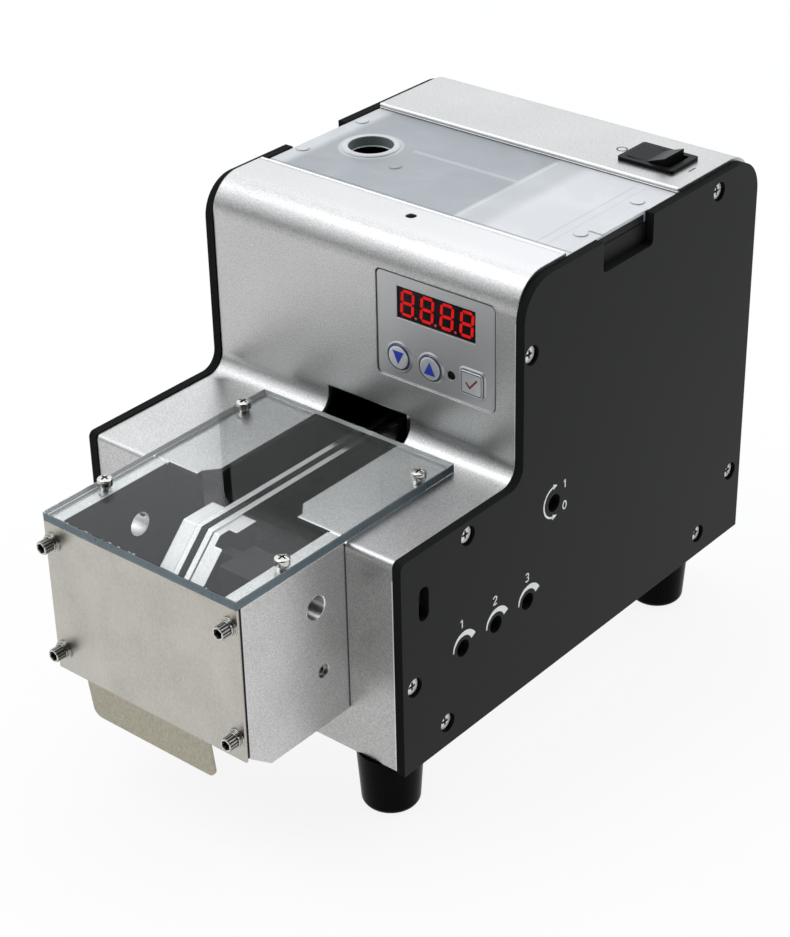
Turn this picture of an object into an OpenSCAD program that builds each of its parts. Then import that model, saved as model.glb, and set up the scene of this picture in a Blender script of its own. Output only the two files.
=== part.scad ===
// Screw counting machine: a bench feeder with a lidded hopper, a shaking feed rail,
// a display with three buttons and a clear-topped counting box in front.
// Model frame: +X to the machine's right, +Y to its rear, +Z up, floor at z = 0.

/* [Housing] */
// Width over the outer faces of the two side panels
panel_span = 123; // [118:1:136]
// Depth of a side panel
panel_d = 177; // [172:1:200]
// Height of a side panel
panel_h = 135.5; // [132:0.5:150]
// Thickness of a side panel
panel_t = 3; // [2.5:0.25:4]
// Depth of the low step in front of the tall housing
step_d = 55.7; // [54:0.1:58]
// Height of the step above the lower edge of a panel
step_h = 72.5; // [70:0.5:80]
// Radius of the two top corners
top_r = 12; // [8:0.5:14]
// Radius of the front corner of the step
step_r = 2; // [1.5:0.1:5]
// Radius of the inner corner between the step and the tall front
cove_r = 6; // [4:0.5:6]
// How far the covers lie inside the panel outline
cover_gap = 0.4; // [0.2:0.1:0.8]
// How far the top of the covers stands above the panels
cover_rise = 1.2; // [0.6:0.1:2]
// Sheet thickness of the covers
sheet_t = 1.5; // [1:0.1:1.8]
// Width of the inward flanges that take the panel screws
flange_w = 9; // [8:0.5:11]
// Thickness of those flanges
flange_t = 1.2; // [1:0.1:1.6]
// Thickness of the base plate
base_t = 2; // [1.5:0.1:2.5]
// Height of the base plate's side flanges
base_flange_h = 11; // [10:0.5:13]

/* [Side panels] */
// Top rear screw: in from the rear edge, down from the top edge
screw_top_rear = [22.5, 5.3]; // [4:0.1:30]
// Upper front screw: in from the tall front edge, down from the top edge
screw_upper_front = [3.7, 22.5]; // [3.4:0.1:30]
// Step screw: in from the front edge, down from the step edge
screw_step = [30, 4.9]; // [4:0.1:40]
// Lower front screw: in from the front edge, up from the lower edge
screw_low_front = [5.3, 28.8]; // [4:0.1:40]
// Front base screw: in from the front edge, up from the lower edge
screw_base_front = [20, 8]; // [6:0.1:30]
// Rear base screw: in from the rear edge, up from the lower edge
screw_base_rear = [24, 8]; // [6:0.1:30]
// Rear screw: in from the rear edge, up from the lower edge
screw_rear = [6, 23.8]; // [4:0.1:40]
// Radius of the sunk seats for the panel screws
seat_r = 3.1; // [2.7:0.05:3.4]
// Depth of those seats
seat_deep = 2.2; // [1.6:0.1:2.3]
// Width of the finger notch in the top edge
notch_w = 25.4; // [20:0.2:30]
// Depth of the finger notch
notch_deep = 9.9; // [7:0.1:12]
// Finger notch behind the front edge of the lid
notch_back = 14.4; // [10:0.1:18]
// Corner radius of the finger notch
notch_r = 1.5; // [0.5:0.25:3]
// Centre of the upright slot, behind the front edge and above the lower edge
slot_at = [9.8, 55.1]; // [8:0.1:60]
// Width of the upright slot
slot_w = 4.5; // [3.5:0.25:5.5]
// Height of the upright slot
slot_tall = 11.2; // [8:0.2:13]
// First trimmer hole, behind the front edge and above the lower edge
trim_at = [27.4, 30.5]; // [24:0.1:34]
// Spacing of the three trimmer holes
trim_pitch = 15.6; // [14:0.1:17]
// Radius of the trimmer holes
trim_hole_r = 2.8; // [2.5:0.1:3.2]
// Radius of the gate hole
gate_hole_r = 2.9; // [2.6:0.1:3.2]

/* [Feet] */
// Height from the floor to the lower edge of the panels
foot_h = 20; // [16:0.5:24]
// Radius of a foot at its top
foot_top_r = 10.2; // [9:0.1:10.5]
// Radius of a foot near the floor
foot_low_r = 9; // [7.5:0.1:9.5]
// Rounding of a foot at the floor
foot_edge_r = 2.5; // [1:0.25:3.5]
// Foot axis in from the panel's outer face
foot_in = 13.5; // [13.2:0.1:16]
// Front foot axis behind the front edge
foot_front = 9.5; // [8:0.5:14]
// Rear foot axis in front of the rear edge
foot_rear = 27; // [20:0.5:34]

/* [Lid and hopper] */
// Strip of the top in front of the lid opening, from the tall front edge
front_strip = 23.3; // [22:0.1:26]
// Strip of the top behind the lid opening, up to the rear edge
rear_strip = 40.8; // [36:0.1:46]
// Thickness of the lid
lid_t = 3; // [2.5:0.25:3.5]
// Lid top below the top of the covers
lid_drop = 1.5; // [0.8:0.1:2]
// Clearance round the lid
lid_gap = 0.4; // [0.3:0.05:0.6]
// Radius of the finger hole
lid_hole_r = 7.3; // [6:0.1:8]
// Radius over the raised ring round the finger hole
lid_ring_r = 9.4; // [8.6:0.1:10.4]
// Height of the raised ring
lid_ring_h = 0.5; // [0.3:0.05:0.6]
// Finger hole from the mid width and behind the middle of the lid's opening
lid_hole_at = [-39.2, 1.3]; // [-46:0.1:8]
// Radius of the round bumps on the lid
bump_r = 2.2; // [1.5:0.1:2.6]
// Distance of the rear bumps from the rear edge of the lid's opening
bump_back = 12.8; // [8:0.1:16]
// Height of the bumps and of the grip strip
bump_h = 0.3; // [0.2:0.05:0.5]
// Width and length of the grip strip at the right edge of the lid
grip_size = [5, 23]; // [4:0.5:28]
// Width of the ribs under the lid
rib_w = 1.6; // [1:0.1:2]
// Height of those ribs
rib_h = 1.5; // [0.8:0.1:1.6]
// Long rib from the mid width, and cross rib behind the middle of the lid's opening
rib_at = [15.5, 6.4]; // [4:0.1:20]
// Down-turned lips of the covers at the lid opening
lip_h = 7; // [5:0.5:9]
// Wall thickness of the hopper rim
rim_t = 3; // [2.5:0.25:3.5]
// Height of the hopper rim
rim_h = 23; // [20:0.5:25]
// Sheet thickness of the hopper bin
bin_t = 1.2; // [1:0.1:1.5]
// Deck of the drive cover below the lid
deck_drop = 11.5; // [10:0.5:13]

/* [Display] */
// Left edge of the display overlay from the mid width
overlay_x = 6.8; // [4:0.1:9]
// Upper edge of the display overlay below the top edge of the panels
overlay_down = 9.3; // [8:0.1:12]
// Width and height of the display overlay
overlay_size = [44.2, 34.4]; // [33:0.1:46]
// Overlay face below the cover face
overlay_drop = 0.25; // [0.1:0.05:0.4]
// Left and lower edge of the display window from the overlay corner
window_at = [7.7, 20.3]; // [6:0.1:22]
// Width and height of the display window
window_size = [29.2, 10.3]; // [9:0.1:30]
// Height of the button row above the overlay's lower edge
button_row = 7.4; // [6.5:0.1:8.5]
// Down button from the overlay's left edge
button_down_x = 8.4; // [8:0.1:9]
// Up button from the overlay's left edge
button_up_x = 20.3; // [19.5:0.1:21]
// Set button from the overlay's left edge
button_set_x = 35.8; // [35:0.1:37]
// Status lamp from the overlay's left edge
lamp_x = 27.9; // [27:0.1:29]
// Radius of a round button
button_r = 4.1; // [3.6:0.1:4.3]
// Width and height of the set button
set_size = [8, 7.4]; // [6.5:0.1:8.4]
// Clearance round each button
button_gap = 0.15; // [0.1:0.05:0.25]
// Height of the buttons above the overlay face
button_proud = 0.7; // [0.5:0.1:1]
// Travel of the buttons
button_travel = 0.5; // [0.3:0.1:0.6]

/* [Power switch and jack] */
// Switch bezel width and depth
bezel_size = [20.4, 15]; // [14:0.1:22]
// Switch centre in from the right side
switch_in = 20.6; // [18:0.1:26]
// Switch centre behind the lid opening
switch_back = 14.9; // [12:0.1:18]
// Switch bezel height
bezel_h = 1.1; // [0.8:0.1:2.2]
// Tilt of the rocker either side of level
rocker_tilt = 9; // [7:0.5:10]
// Power jack from the mid width
jack_x = -32; // [-40:0.5:-20]
// Power jack above the panel's lower edge
jack_up = 26; // [20:0.5:40]

/* [Counting box] */
// Left face of the box from the mid width
box_x0 = -34.3; // [-36:0.1:-33]
// Width of the box
box_w = 75.2; // [73:0.1:78]
// Wall thickness
wall_t = 6; // [5.5:0.25:7]
// Reach of the walls in front of the cover
wall_reach = 42.1; // [39:0.1:44]
// Height of the walls
wall_h = 56.5; // [54:0.5:60]
// Front bottom bevel of the walls, along the depth and up
wall_bevel = [8.2, 6.4]; // [5:0.1:10]
// Cross hole behind the walls' front and above their lower face
cross_hole_at = [29.4, 41.3]; // [26:0.1:44]
// Cross hole radius
cross_hole_r = 3.8; // [3:0.1:4.2]
// Set screw hole behind the walls' front and above their lower face
set_hole_at = [31.4, 18.8]; // [16:0.1:33]
// Set screw radius
set_screw_r = 2.1; // [1.6:0.1:2.5]
// Thickness of the seal behind the front plate
seal_t = 0.9; // [0.6:0.1:1.2]
// Thickness of the front plate
plate_t = 0.8; // [0.6:0.1:2]
// Front plate height
plate_h = 50.4; // [48:0.1:53]
// Height of the tongue below the front plate
tongue_h = 13.5; // [10:0.5:16]
// Left edge and width of the tongue
tongue_span = [-22.8, 49.3]; // [-24:0.1:51]
// Corner radius of the tongue
tongue_r = 3; // [1:0.5:5]
// Backward bend of the tongue
tongue_bend = 7; // [3:0.5:10]
// Upper cap screws below the top of the front plate
cap_top = 6; // [4:0.1:8]
// Lower cap screws above the lower edge of the front plate
cap_low = 7.3; // [6:0.1:11]
// Thickness of the clear window
glass_t = 3; // [2.5:0.25:3.5]
// Rear edge of the clear window in front of the inner corner of the cover
glass_short = 0.6; // [0.4:0.1:2]
// Front window screws in front of the panels' front edge
glass_screw_front = 21.7; // [18:0.1:25]
// Rear window screws in front of the window's rear edge
glass_screw_rear = 12.5; // [8:0.1:16]
// Left edge and width of the rail cut in the cover
cut_span = [-13.3, 32.5]; // [-16:0.1:36]
// Flare of the rail cut at the front
cut_flare = 3.5; // [2:0.1:4]
// Start and end of the flare behind the front edge of the panels
flare_at = [3.4, 7.5]; // [3:0.1:9]
// Height of the rail cut above the step
cut_up = 8.5; // [7.5:0.1:10]
// Depth of the rail cut below the step
cut_down = 27; // [25:0.5:28]
// Thickness of the black plates that line the rail cut
liner_t = 1.5; // [1:0.1:2]
// Height of those plates
liner_h = 22; // [18:0.5:24]

/* [Rail and drive] */
// Middle of the rail slot from the mid width
rail_x = 1.1; // [0.5:0.1:1.5]
// Rail top below the step cover
rail_drop = 4.2; // [4.1:0.05:4.4]
// Width of the rail slot
rail_slot = 2.4; // [2:0.1:3.4]
// Width of one rail bar
bar_w = 2; // [1.6:0.1:2.4]
// Height of the rail bars
bar_h = 12; // [11:0.5:13]
// Rear end of the rail behind the front edge of the lid opening
rail_back = 56; // [55:0.5:57]
// Front of the level stretch, in front of the panels' front edge
bend_front = 14.2; // [12:0.1:15]
// Run of the sloping stretch along the depth
slope_run = 16; // [14:0.5:18]
// Half width of the track blocks
block_half = 8.7; // [8:0.1:9.4]
// Rear face of the track blocks in front of the panels' front edge
block_back = 2.2; // [0.8:0.1:2.6]
// Depth of the side notch in the right block
block_notch = 2.9; // [2:0.1:3.2]
// Shake of the rail either way
shake = 0.4; // [0.2:0.1:0.5]
// Crank radius
crank_r = 9; // [8:0.5:9.5]
// Crank centre below the rail top
crank_drop = 38; // [37:0.5:39]
// Crank pin radius
pin_r = 2; // [1.6:0.1:2.2]
// Clearance above and below the crank pin in its slot
yoke_gap = 0.8; // [0.7:0.05:1]
// Thickness of the lifter
lifter_t = 3; // [2.5:0.25:3.5]
// Length of the lifter along the rail
lifter_len = 32; // [30:0.5:33]
// Sliding clearance of the lifter
lifter_gap = 0.35; // [0.3:0.05:0.5]
// Radius over the brush roller
brush_r = 9; // [8:0.25:9.5]
// Clearance of the brush above the rail
brush_gap = 1.2; // [0.6:0.1:1.6]
// Gate shaft in front of the lid opening
gate_ahead = 7.8; // [7:0.1:9]
// Gate shaft below the rail top
gate_drop = 9; // [8.5:0.1:10]
// Gate shaft radius
gate_shaft_r = 2; // [1.6:0.1:2.2]
// Running clearance of shafts in their bearings
shaft_gap = 0.05; // [0.03:0.01:0.08]
// Radius and length of the lift motor
motor_size = [12.5, 34]; // [11:0.5:36]
// Radius and length of the roller motor
roller_motor_size = [8, 28]; // [7:0.5:30]
// Length and height of the magnet that shakes the rail
coil_size = [15, 20.5]; // [12:0.5:22]
// Sheet thickness of the inner brackets
bracket_t = 2; // [1.5:0.1:2.5]
// Length of the posts under the rail
post_len = 8; // [7:0.5:9]
// Length of the two lifter guides
guide_len = 6.5; // [6:0.5:7]

/* [Hidden] */
$fn = 64;
eps = 0.01;
metal = [0.79, 0.79, 0.78];
black = [0.16, 0.17, 0.17];
steel = [0.72, 0.71, 0.68];
bright = [0.85, 0.85, 0.86];
rubber = [0.07, 0.07, 0.07];
green = [0.1, 0.35, 0.2];
clear = [0.75, 0.85, 0.9, 0.4];
frost = [0.92, 0.93, 0.93, 0.6];

inner_x = panel_span / 2 - panel_t;
panel_z = foot_h;
cover_top = foot_h + panel_h + cover_rise;
cover_h = panel_h + cover_rise + cover_gap;
face_y = step_d + cover_gap;
low_y = cover_gap;
deck_z = foot_h + step_h - cover_gap;
base_z = foot_h + cover_gap;
base_top = base_z + base_t;
skin_in = cover_gap + sheet_t;
lid_y0 = step_d + front_strip;
lid_y1 = panel_d - rear_strip;
lid_z = cover_top - lid_drop - lid_t;
rim_top = lid_z - 0.1;
rim_z = rim_top - rim_h;
rim_y0 = lid_y0 + 0.2;
rim_y1 = lid_y1 - 0.2;
switch_x = panel_span / 2 - switch_in;
switch_y = lid_y1 + switch_back;
m3_r = 1.45;
m3_hole = 1.5;
cap_r = 1.25;
cap_hole = 1.3;

panel_spots = [
    [panel_d - screw_top_rear[0], panel_h - screw_top_rear[1]],
    [step_d + screw_upper_front[0], panel_h - screw_upper_front[1]],
    [screw_step[0], step_h - screw_step[1]],
    screw_low_front,
    screw_base_front,
    [panel_d - screw_base_rear[0], screw_base_rear[1]],
    [panel_d - screw_rear[0], screw_rear[1]]
];

foot_spots = [
    [-(panel_span / 2 - foot_in), foot_front],
    [panel_span / 2 - foot_in, foot_front],
    [-(panel_span / 2 - foot_in), panel_d - foot_rear],
    [panel_span / 2 - foot_in, panel_d - foot_rear]
];

box_x1 = box_x0 + box_w;
wall_y = low_y - wall_reach;
wall_z = deck_z - wall_h;
seal_y = wall_y - seal_t;
plate_y = seal_y - plate_t;
plate_z = deck_z - plate_h;
glass_back = face_y - cove_r - glass_short;
cap_spots = [
    [box_x0 + wall_t / 2, deck_z - cap_top],
    [box_x1 - wall_t / 2, deck_z - cap_top],
    [box_x0 + wall_t / 2, plate_z + cap_low],
    [box_x1 - wall_t / 2, plate_z + cap_low]
];
glass_spots = [
    [box_x0 + wall_t / 2, -glass_screw_front],
    [box_x1 - wall_t / 2, -glass_screw_front],
    [box_x0 + wall_t / 2, glass_back - glass_screw_rear],
    [box_x1 - wall_t / 2, glass_back - glass_screw_rear]
];
wall_screw_z = [wall_z + 12, deck_z - 14];
cut_x0 = cut_span[0];
cut_x1 = cut_span[0] + cut_span[1];

rail_top = deck_z - rail_drop;
rail_x0 = rail_x - rail_slot / 2 - bar_w;
rail_x1 = rail_x + rail_slot / 2 + bar_w;
rail_y1 = lid_y0 + rail_back;
bend_y = -bend_front;
slope_y = bend_y - slope_run;
carrier_h = 6;
carrier_z = rail_top - bar_h - carrier_h;
mount_h = 4;
post_z = carrier_z - mount_h;
post_front = 40;
iron_y = post_front + 2 * post_len;
post_rear = rail_y1 - 4.5;

lifter_x = rail_x1 + 1;
lifter_y0 = lid_y0 + 14.5;
lifter_y1 = lifter_y0 + lifter_len;
crank_y = (lifter_y0 + lifter_y1) / 2;
crank_z = rail_top - crank_drop;
disc_x1 = lifter_x - 3;
disc_x0 = disc_x1 - 4;
disc_r = crank_r + 3.5;
motor_x1 = disc_x0 - 5;
bin_x0 = lifter_x + lifter_t + 0.8;
bin_y0 = lifter_y0 - 1.5;
bin_y1 = rim_y1 - rim_t;

roller_y = lid_y0 + 4.5;
roller_z = rail_top + brush_gap + brush_r;
roller_x0 = rail_x0 - 1;
roller_x1 = rail_x1 + 0.5;
cover_x = rail_x0 - 1.5;
deck_top = lid_z - deck_drop;
gate_y = lid_y0 - gate_ahead;
gate_z = rail_top - gate_drop;
gate_x = rail_x1 + 2;
finger_r = 1.5;
gate_arm = 14.5;

overlay_z = panel_z + panel_h - overlay_down - overlay_size[1];
overlay_y = face_y + overlay_drop;
overlay_t = 1.5;
board_y = overlay_y + overlay_t + 6;
board_t = 1.6;
button_y = overlay_y - button_proud;
row_z = overlay_z + button_row;

trim_y = [trim_at[0], trim_at[0] + trim_pitch, trim_at[0] + 2 * trim_pitch];
trim_z = panel_z + trim_at[1];
pcb_x = inner_x - 7.5;
pcb_t = 1.6;

cap_stack = 1.6;
cap_head = 3.1;
front_y = plate_y - cap_stack - cap_head;
mid_y = (front_y + panel_d) / 2;

// Moves the machine so that the middle of its depth is at the origin
module placed() {
    translate([0, -mid_y, 0])
        children();
}

// Extrudes a depth and height outline along the width
module along_x(x0, len) {
    translate([x0, 0, 0])
        rotate([90, 0, 90])
            linear_extrude(len)
                children();
}

// Extrudes a width and height outline along the depth
module along_y(y0, len) {
    translate([0, y0 + len, 0])
        rotate([90, 0, 0])
            linear_extrude(len)
                children();
}

// Round bar along the width
module bar_x(x0, x1, y, z, r) {
    translate([x0, y, z])
        rotate([0, 90, 0])
            cylinder(r = r, h = x1 - x0);
}

// Round bar along the depth
module bar_y(y0, y1, x, z, r) {
    translate([x, y1, z])
        rotate([90, 0, 0])
            cylinder(r = r, h = y1 - y0);
}

// Block between two corners
module block(a, b) {
    translate(a)
        cube(b - a);
}

// Flat rectangle with round corners, from its lower left corner
module round_rect(size, r) {
    translate([r, 0])
        square([size[0] - 2 * r, size[1]]);
    translate([0, r])
        square([size[0], size[1] - 2 * r]);
    for (x = [r, size[0] - r], y = [r, size[1] - r])
        translate([x, y])
            circle(r);
}

// Waste outside a round corner: the arc centre, its radius and the corner's direction.
// A radius of nothing or less leaves the corner sharp.
module corner_waste(centre, r, dir) {
    if (r > 0.1)
        difference() {
            translate([centre[0] + (dir[0] > 0 ? 0 : -r - 1), centre[1] + (dir[1] > 0 ? 0 : -r - 1)])
                square(r + 1);
            translate(centre)
                circle(r);
        }
}

// Side outline of the housing in depth and height, of height h, drawn inside its edge by i
module housing_profile(i, h = panel_h) {
    difference() {
        union() {
            translate([i, panel_z + i])
                square([panel_d - 2 * i, step_h - 2 * i]);
            translate([step_d + i, panel_z + i])
                square([panel_d - step_d - 2 * i, h - 2 * i]);
            difference() {
                translate([step_d - cove_r, panel_z + step_h - i - eps])
                    square([cove_r + i + eps, cove_r + i + eps]);
                translate([step_d - cove_r, panel_z + step_h + cove_r])
                    circle(cove_r + i);
            }
        }
        corner_waste([step_r, panel_z + step_h - step_r], step_r - i, [-1, 1]);
        corner_waste([step_d + top_r, panel_z + h - top_r], top_r - i, [-1, 1]);
        corner_waste([panel_d - top_r, panel_z + h - top_r], top_r - i, [1, 1]);
    }
}

// Pan head screw with a cross recess, head upwards, seated at z = 0
module pan_screw(head_r, head_h, shank_r, len, flat = 1.15) {
    ball_r = (head_r * head_r + head_h * head_h) / (2 * head_h) * flat;
    difference() {
        union() {
            intersection() {
                cylinder(r = head_r, h = head_h);
                translate([0, 0, head_h - ball_r])
                    sphere(ball_r);
            }
            translate([0, 0, -len])
                cylinder(r = shank_r, h = len + eps);
        }
        for (a = [0, 90])
            rotate([0, 0, a])
                translate([-head_r * 0.62, -head_r * 0.15, head_h * 0.35])
                    cube([head_r * 1.24, head_r * 0.3, head_h]);
    }
}

// Socket cap screw, head upwards, seated at z = 0
module cap_screw(head_r, head_h, shank_r, len) {
    edge = 0.35;
    difference() {
        union() {
            cylinder(r = head_r, h = head_h - edge);
            translate([0, 0, head_h - edge])
                cylinder(r1 = head_r, r2 = head_r - edge, h = edge);
            translate([0, 0, -len])
                cylinder(r = shank_r, h = len + eps);
        }
        translate([0, 0, head_h * 0.45])
            cylinder(r = head_r * 0.5, h = head_h, $fn = 6);
    }
}

// Turns a screw so that its head looks along the width, side 1 right and -1 left
module facing_side(x, y, z, side) {
    translate([x, y, z])
        rotate([0, 90 * side, 0])
            children();
}

// Turns a screw so that its head looks to the front
module facing_front(x, y, z) {
    translate([x, y, z])
        rotate([90, 0, 0])
            children();
}

// Stretch of the outline that the front cover follows
module front_region() {
    translate([-1, base_z])
        square([skin_in + 1 + eps, step_h]);
    translate([-1, base_z + base_flange_h + 4])
        square([skin_in + flange_w + 1, step_h - base_flange_h - 4]);
    translate([-1, deck_z - cove_r - flange_w - 4])
        square([lid_y0 + 1, panel_h]);
}

// Stretch of the outline that the rear cover follows
module rear_region() {
    translate([panel_d - skin_in - eps, base_z])
        square([skin_in + 2, cover_h]);
    translate([panel_d - skin_in - flange_w, base_z + base_flange_h + 4])
        square([skin_in + flange_w + 2, panel_h]);
    translate([lid_y1, cover_top - top_r - flange_w])
        square([panel_d, panel_h]);
}

// Bent cover sheet over the full inner width with its two flanges
module cover_shell(which) {
    along_x(-inner_x, 2 * inner_x)
        intersection() {
            difference() {
                housing_profile(cover_gap, cover_h);
                housing_profile(skin_in, cover_h);
            }
            if (which == "front")
                front_region();
            else
                rear_region();
        }
    for (x = [-inner_x, inner_x - flange_t])
        along_x(x, flange_t)
            intersection() {
                difference() {
                    housing_profile(skin_in - eps, cover_h);
                    housing_profile(skin_in + flange_w, cover_h);
                }
                translate([0, base_z + base_flange_h + 4])
                    square([panel_d, panel_h]);
                if (which == "front")
                    front_region();
                else
                    rear_region();
            }
}

// Outline of the rail cut seen from above, flared at the front
module cut_outline() {
    polygon([[cut_x0 - cut_flare, -1], [cut_x0 - cut_flare, flare_at[0]], [cut_x0, flare_at[1]],
        [cut_x0, step_d + 10], [cut_x1, step_d + 10], [cut_x1, flare_at[1]],
        [cut_x1 + cut_flare, flare_at[0]], [cut_x1 + cut_flare, -1]]);
}

// Down-turned edges along the flare of the rail cut
module flare_edges() {
    intersection() {
        translate([0, 0, deck_z - cut_down])
            linear_extrude(cut_down)
                for (s = [[cut_x0, -1], [cut_x1, 1]])
                    polygon([[s[0] + s[1] * cut_flare, skin_in - eps], [s[0] + s[1] * cut_flare, flare_at[0]],
                        [s[0], flare_at[1]], [s[0] + s[1] * sheet_t, flare_at[1]],
                        [s[0] + s[1] * (cut_flare + sheet_t), flare_at[0]],
                        [s[0] + s[1] * (cut_flare + sheet_t), skin_in - eps]]);
        along_x(-inner_x, 2 * inner_x)
            housing_profile(cover_gap + 0.4, cover_h);
    }
}

// Screw holes through the flanges on both sides
module flange_holes() {
    for (s = panel_spots)
        bar_x(-inner_x - 1, inner_x + 1, s[0], panel_z + s[1], m3_hole);
}

module base_plate() {
    color(metal)
        difference() {
            union() {
                block([-inner_x, skin_in + 0.3, base_z], [inner_x, panel_d - skin_in - 0.3, base_top]);
                for (x = [-inner_x, inner_x - flange_t])
                    block([x, skin_in + flange_w + 2, base_z],
                        [x + flange_t, panel_d - skin_in - flange_w - 2, base_top + base_flange_h]);
            }
            flange_holes();
            for (s = foot_spots)
                translate([s[0], s[1], 0])
                    cylinder(r = 2.05, h = foot_h + 10);
        }
}

module front_cover() {
    color(metal)
        difference() {
            union() {
                cover_shell("front");
                block([-inner_x + flange_t, lid_y0 - sheet_t, cover_top - lip_h],
                    [inner_x - flange_t, lid_y0, cover_top - sheet_t + eps]);
                flare_edges();
            }
            flange_holes();
            translate([0, 0, deck_z - cut_down])
                linear_extrude(cut_down + cut_up)
                    cut_outline();
            block([-inner_x - 1, lid_y0 - 1.3, cover_top - 0.2], [inner_x + 1, lid_y0 - 1.1, cover_top + 1]);
            along_y(step_d - 2, 6)
                translate([overlay_x - 0.15, overlay_z - 0.15])
                    round_rect(overlay_size + [0.3, 0.3], 2.15);
            translate([7.3, lid_y0 - 6.7, cover_top - 5])
                cylinder(r = 1.7, h = 10);
            for (s = [glass_spots[2], glass_spots[3]])
                translate([s[0], s[1], deck_z - 5])
                    cylinder(r = m3_hole, h = 10);
            for (x = [box_x0 + wall_t / 2, box_x1 - wall_t / 2], z = wall_screw_z)
                bar_y(-1, 5, x, z, m3_hole);
        }
}

module rear_cover() {
    color(metal)
        difference() {
            union() {
                cover_shell("rear");
                block([-inner_x + flange_t, lid_y1, cover_top - lip_h],
                    [inner_x - flange_t, lid_y1 + sheet_t, cover_top - sheet_t + eps]);
            }
            flange_holes();
            block([-inner_x - 1, lid_y1 - 1, cover_top - 1.05], [inner_x + 1, lid_y1 + 0.2, cover_top - 0.85]);
            block([switch_x - bezel_size[0] / 2 + 0.9, switch_y - bezel_size[1] / 2 + 0.9, cover_top - 5],
                [switch_x + bezel_size[0] / 2 - 0.9, switch_y + bezel_size[1] / 2 - 0.9, cover_top + 5]);
            bar_y(panel_d - 5, panel_d + 5, jack_x, panel_z + jack_up, 4.1);
        }
}

// Black side panel on the right, or on the left with side = -1
module side_panel(side) {
    x0 = side > 0 ? inner_x : -inner_x - panel_t;
    seat_x = side > 0 ? inner_x + panel_t - seat_deep : -inner_x - panel_t - 1;
    color(black)
        difference() {
            along_x(x0, panel_t)
                difference() {
                    housing_profile(0);
                    translate([lid_y0 + notch_back, panel_z + panel_h - notch_deep])
                        round_rect([notch_w, notch_deep + notch_r + 2], notch_r);
                }
            for (s = panel_spots) {
                bar_x(x0 - 1, x0 + panel_t + 1, s[0], panel_z + s[1], m3_hole + 0.2);
                bar_x(seat_x, seat_x + seat_deep + 1, s[0], panel_z + s[1], seat_r);
            }
            if (side > 0) {
                for (y = trim_y)
                    bar_x(x0 - 1, x0 + panel_t + 1, y, trim_z, trim_hole_r);
                bar_x(x0 - 1, x0 + panel_t + 1, gate_y, gate_z, gate_hole_r);
                along_x(x0 - 1, panel_t + 2)
                    translate([slot_at[0] - slot_w / 2, panel_z + slot_at[1] - slot_tall / 2])
                        round_rect([slot_w, slot_tall], slot_w / 2 - 0.05);
            }
        }
}

module side_panel_left() {
    side_panel(-1);
}

module side_panel_right() {
    side_panel(1);
}

module panel_screws() {
    color(bright)
        for (s = panel_spots, side = [-1, 1])
            facing_side(side * (inner_x + panel_t - seat_deep), s[0], panel_z + s[1], side)
                pan_screw(2.95, 0.9, m3_r, panel_t - seat_deep + flange_t + 3);
}

// Rubber foot with a sunk screw seat, standing on the floor
module foot(spot) {
    color(rubber)
        translate([spot[0], spot[1], 0])
            difference() {
                rotate_extrude() {
                    polygon([[0, foot_edge_r], [foot_low_r, foot_edge_r], [foot_top_r, base_z], [0, base_z]]);
                    square([foot_low_r - foot_edge_r, foot_edge_r + eps]);
                    translate([foot_low_r - foot_edge_r, foot_edge_r])
                        circle(foot_edge_r);
                }
                translate([0, 0, -1])
                    cylinder(r = 4.4, h = 12);
                cylinder(r = 2.05, h = foot_h + 10);
            }
}

module foot_front_left() {
    foot(foot_spots[0]);
}

module foot_front_right() {
    foot(foot_spots[1]);
}

module foot_rear_left() {
    foot(foot_spots[2]);
}

module foot_rear_right() {
    foot(foot_spots[3]);
}

module foot_screws() {
    color(bright)
        for (s = foot_spots)
            translate([s[0], s[1], 11])
                rotate([180, 0, 0])
                    pan_screw(4, 2.4, 2, base_top - 11 + 3);
}

// Black frame under the lid that closes the top of the hopper
module hopper_rim() {
    color(black)
        difference() {
            block([-inner_x, rim_y0, rim_z], [inner_x, rim_y1, rim_top]);
            block([-inner_x + rim_t, rim_y0 + rim_t, rim_z - 1], [inner_x - rim_t, rim_y1 - rim_t, rim_top + 1]);
        }
}

// Sheet bin: a ramp down to the lifter, a fixing flange on the rim and two end walls
module hopper_bin() {
    high_x = inner_x - rim_t;
    low_z = rail_top - 8;
    high_z = rim_z + 10;
    top_z = rim_top - 2;
    color(bright) {
        along_y(bin_y0, bin_y1 - bin_y0)
            polygon([[bin_x0, low_z], [bin_x0, low_z - bin_t * 1.5], [high_x, high_z - bin_t * 1.5],
                [high_x, top_z], [high_x - bin_t, top_z], [high_x - bin_t, high_z]]);
        for (y = [bin_y0, bin_y1 - bin_t])
            along_y(y, bin_t)
                polygon([[bin_x0, low_z - bin_t * 1.5], [high_x, high_z - bin_t * 1.5],
                    [high_x, top_z], [bin_x0, top_z]]);
    }
}

// Deck over the drive with a raised rear part and a skirt beside the rail
module drive_cover() {
    left_x = -inner_x + rim_t;
    front_in = rim_y0 + rim_t;
    rear_in = rim_y1 - rim_t;
    color([0.45, 0.46, 0.47])
        difference() {
            union() {
                block([left_x, front_in, deck_top - 2], [cover_x, rear_in, deck_top]);
                block([cover_x - eps, front_in, deck_top - 2], [inner_x - rim_t, bin_y0 - 0.3, deck_top]);
                block([left_x + 8, rear_in - 21, deck_top - eps], [cover_x - 8, rear_in - 3, deck_top + 3]);
                block([cover_x - 1.5, bin_y0, rail_top + 4], [cover_x, rear_in, deck_top - 1]);
                block([cover_x - eps, rear_in - 1.2, rail_top + 4], [bin_x0 - 0.3, rear_in, deck_top]);
                block([left_x, front_in, rim_z], [left_x + 2, rear_in, deck_top]);
            }
            block([left_x + 10, rear_in - 19, deck_top - 3], [cover_x - 10, rear_in - 5, deck_top + 1]);
        }
}

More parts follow.
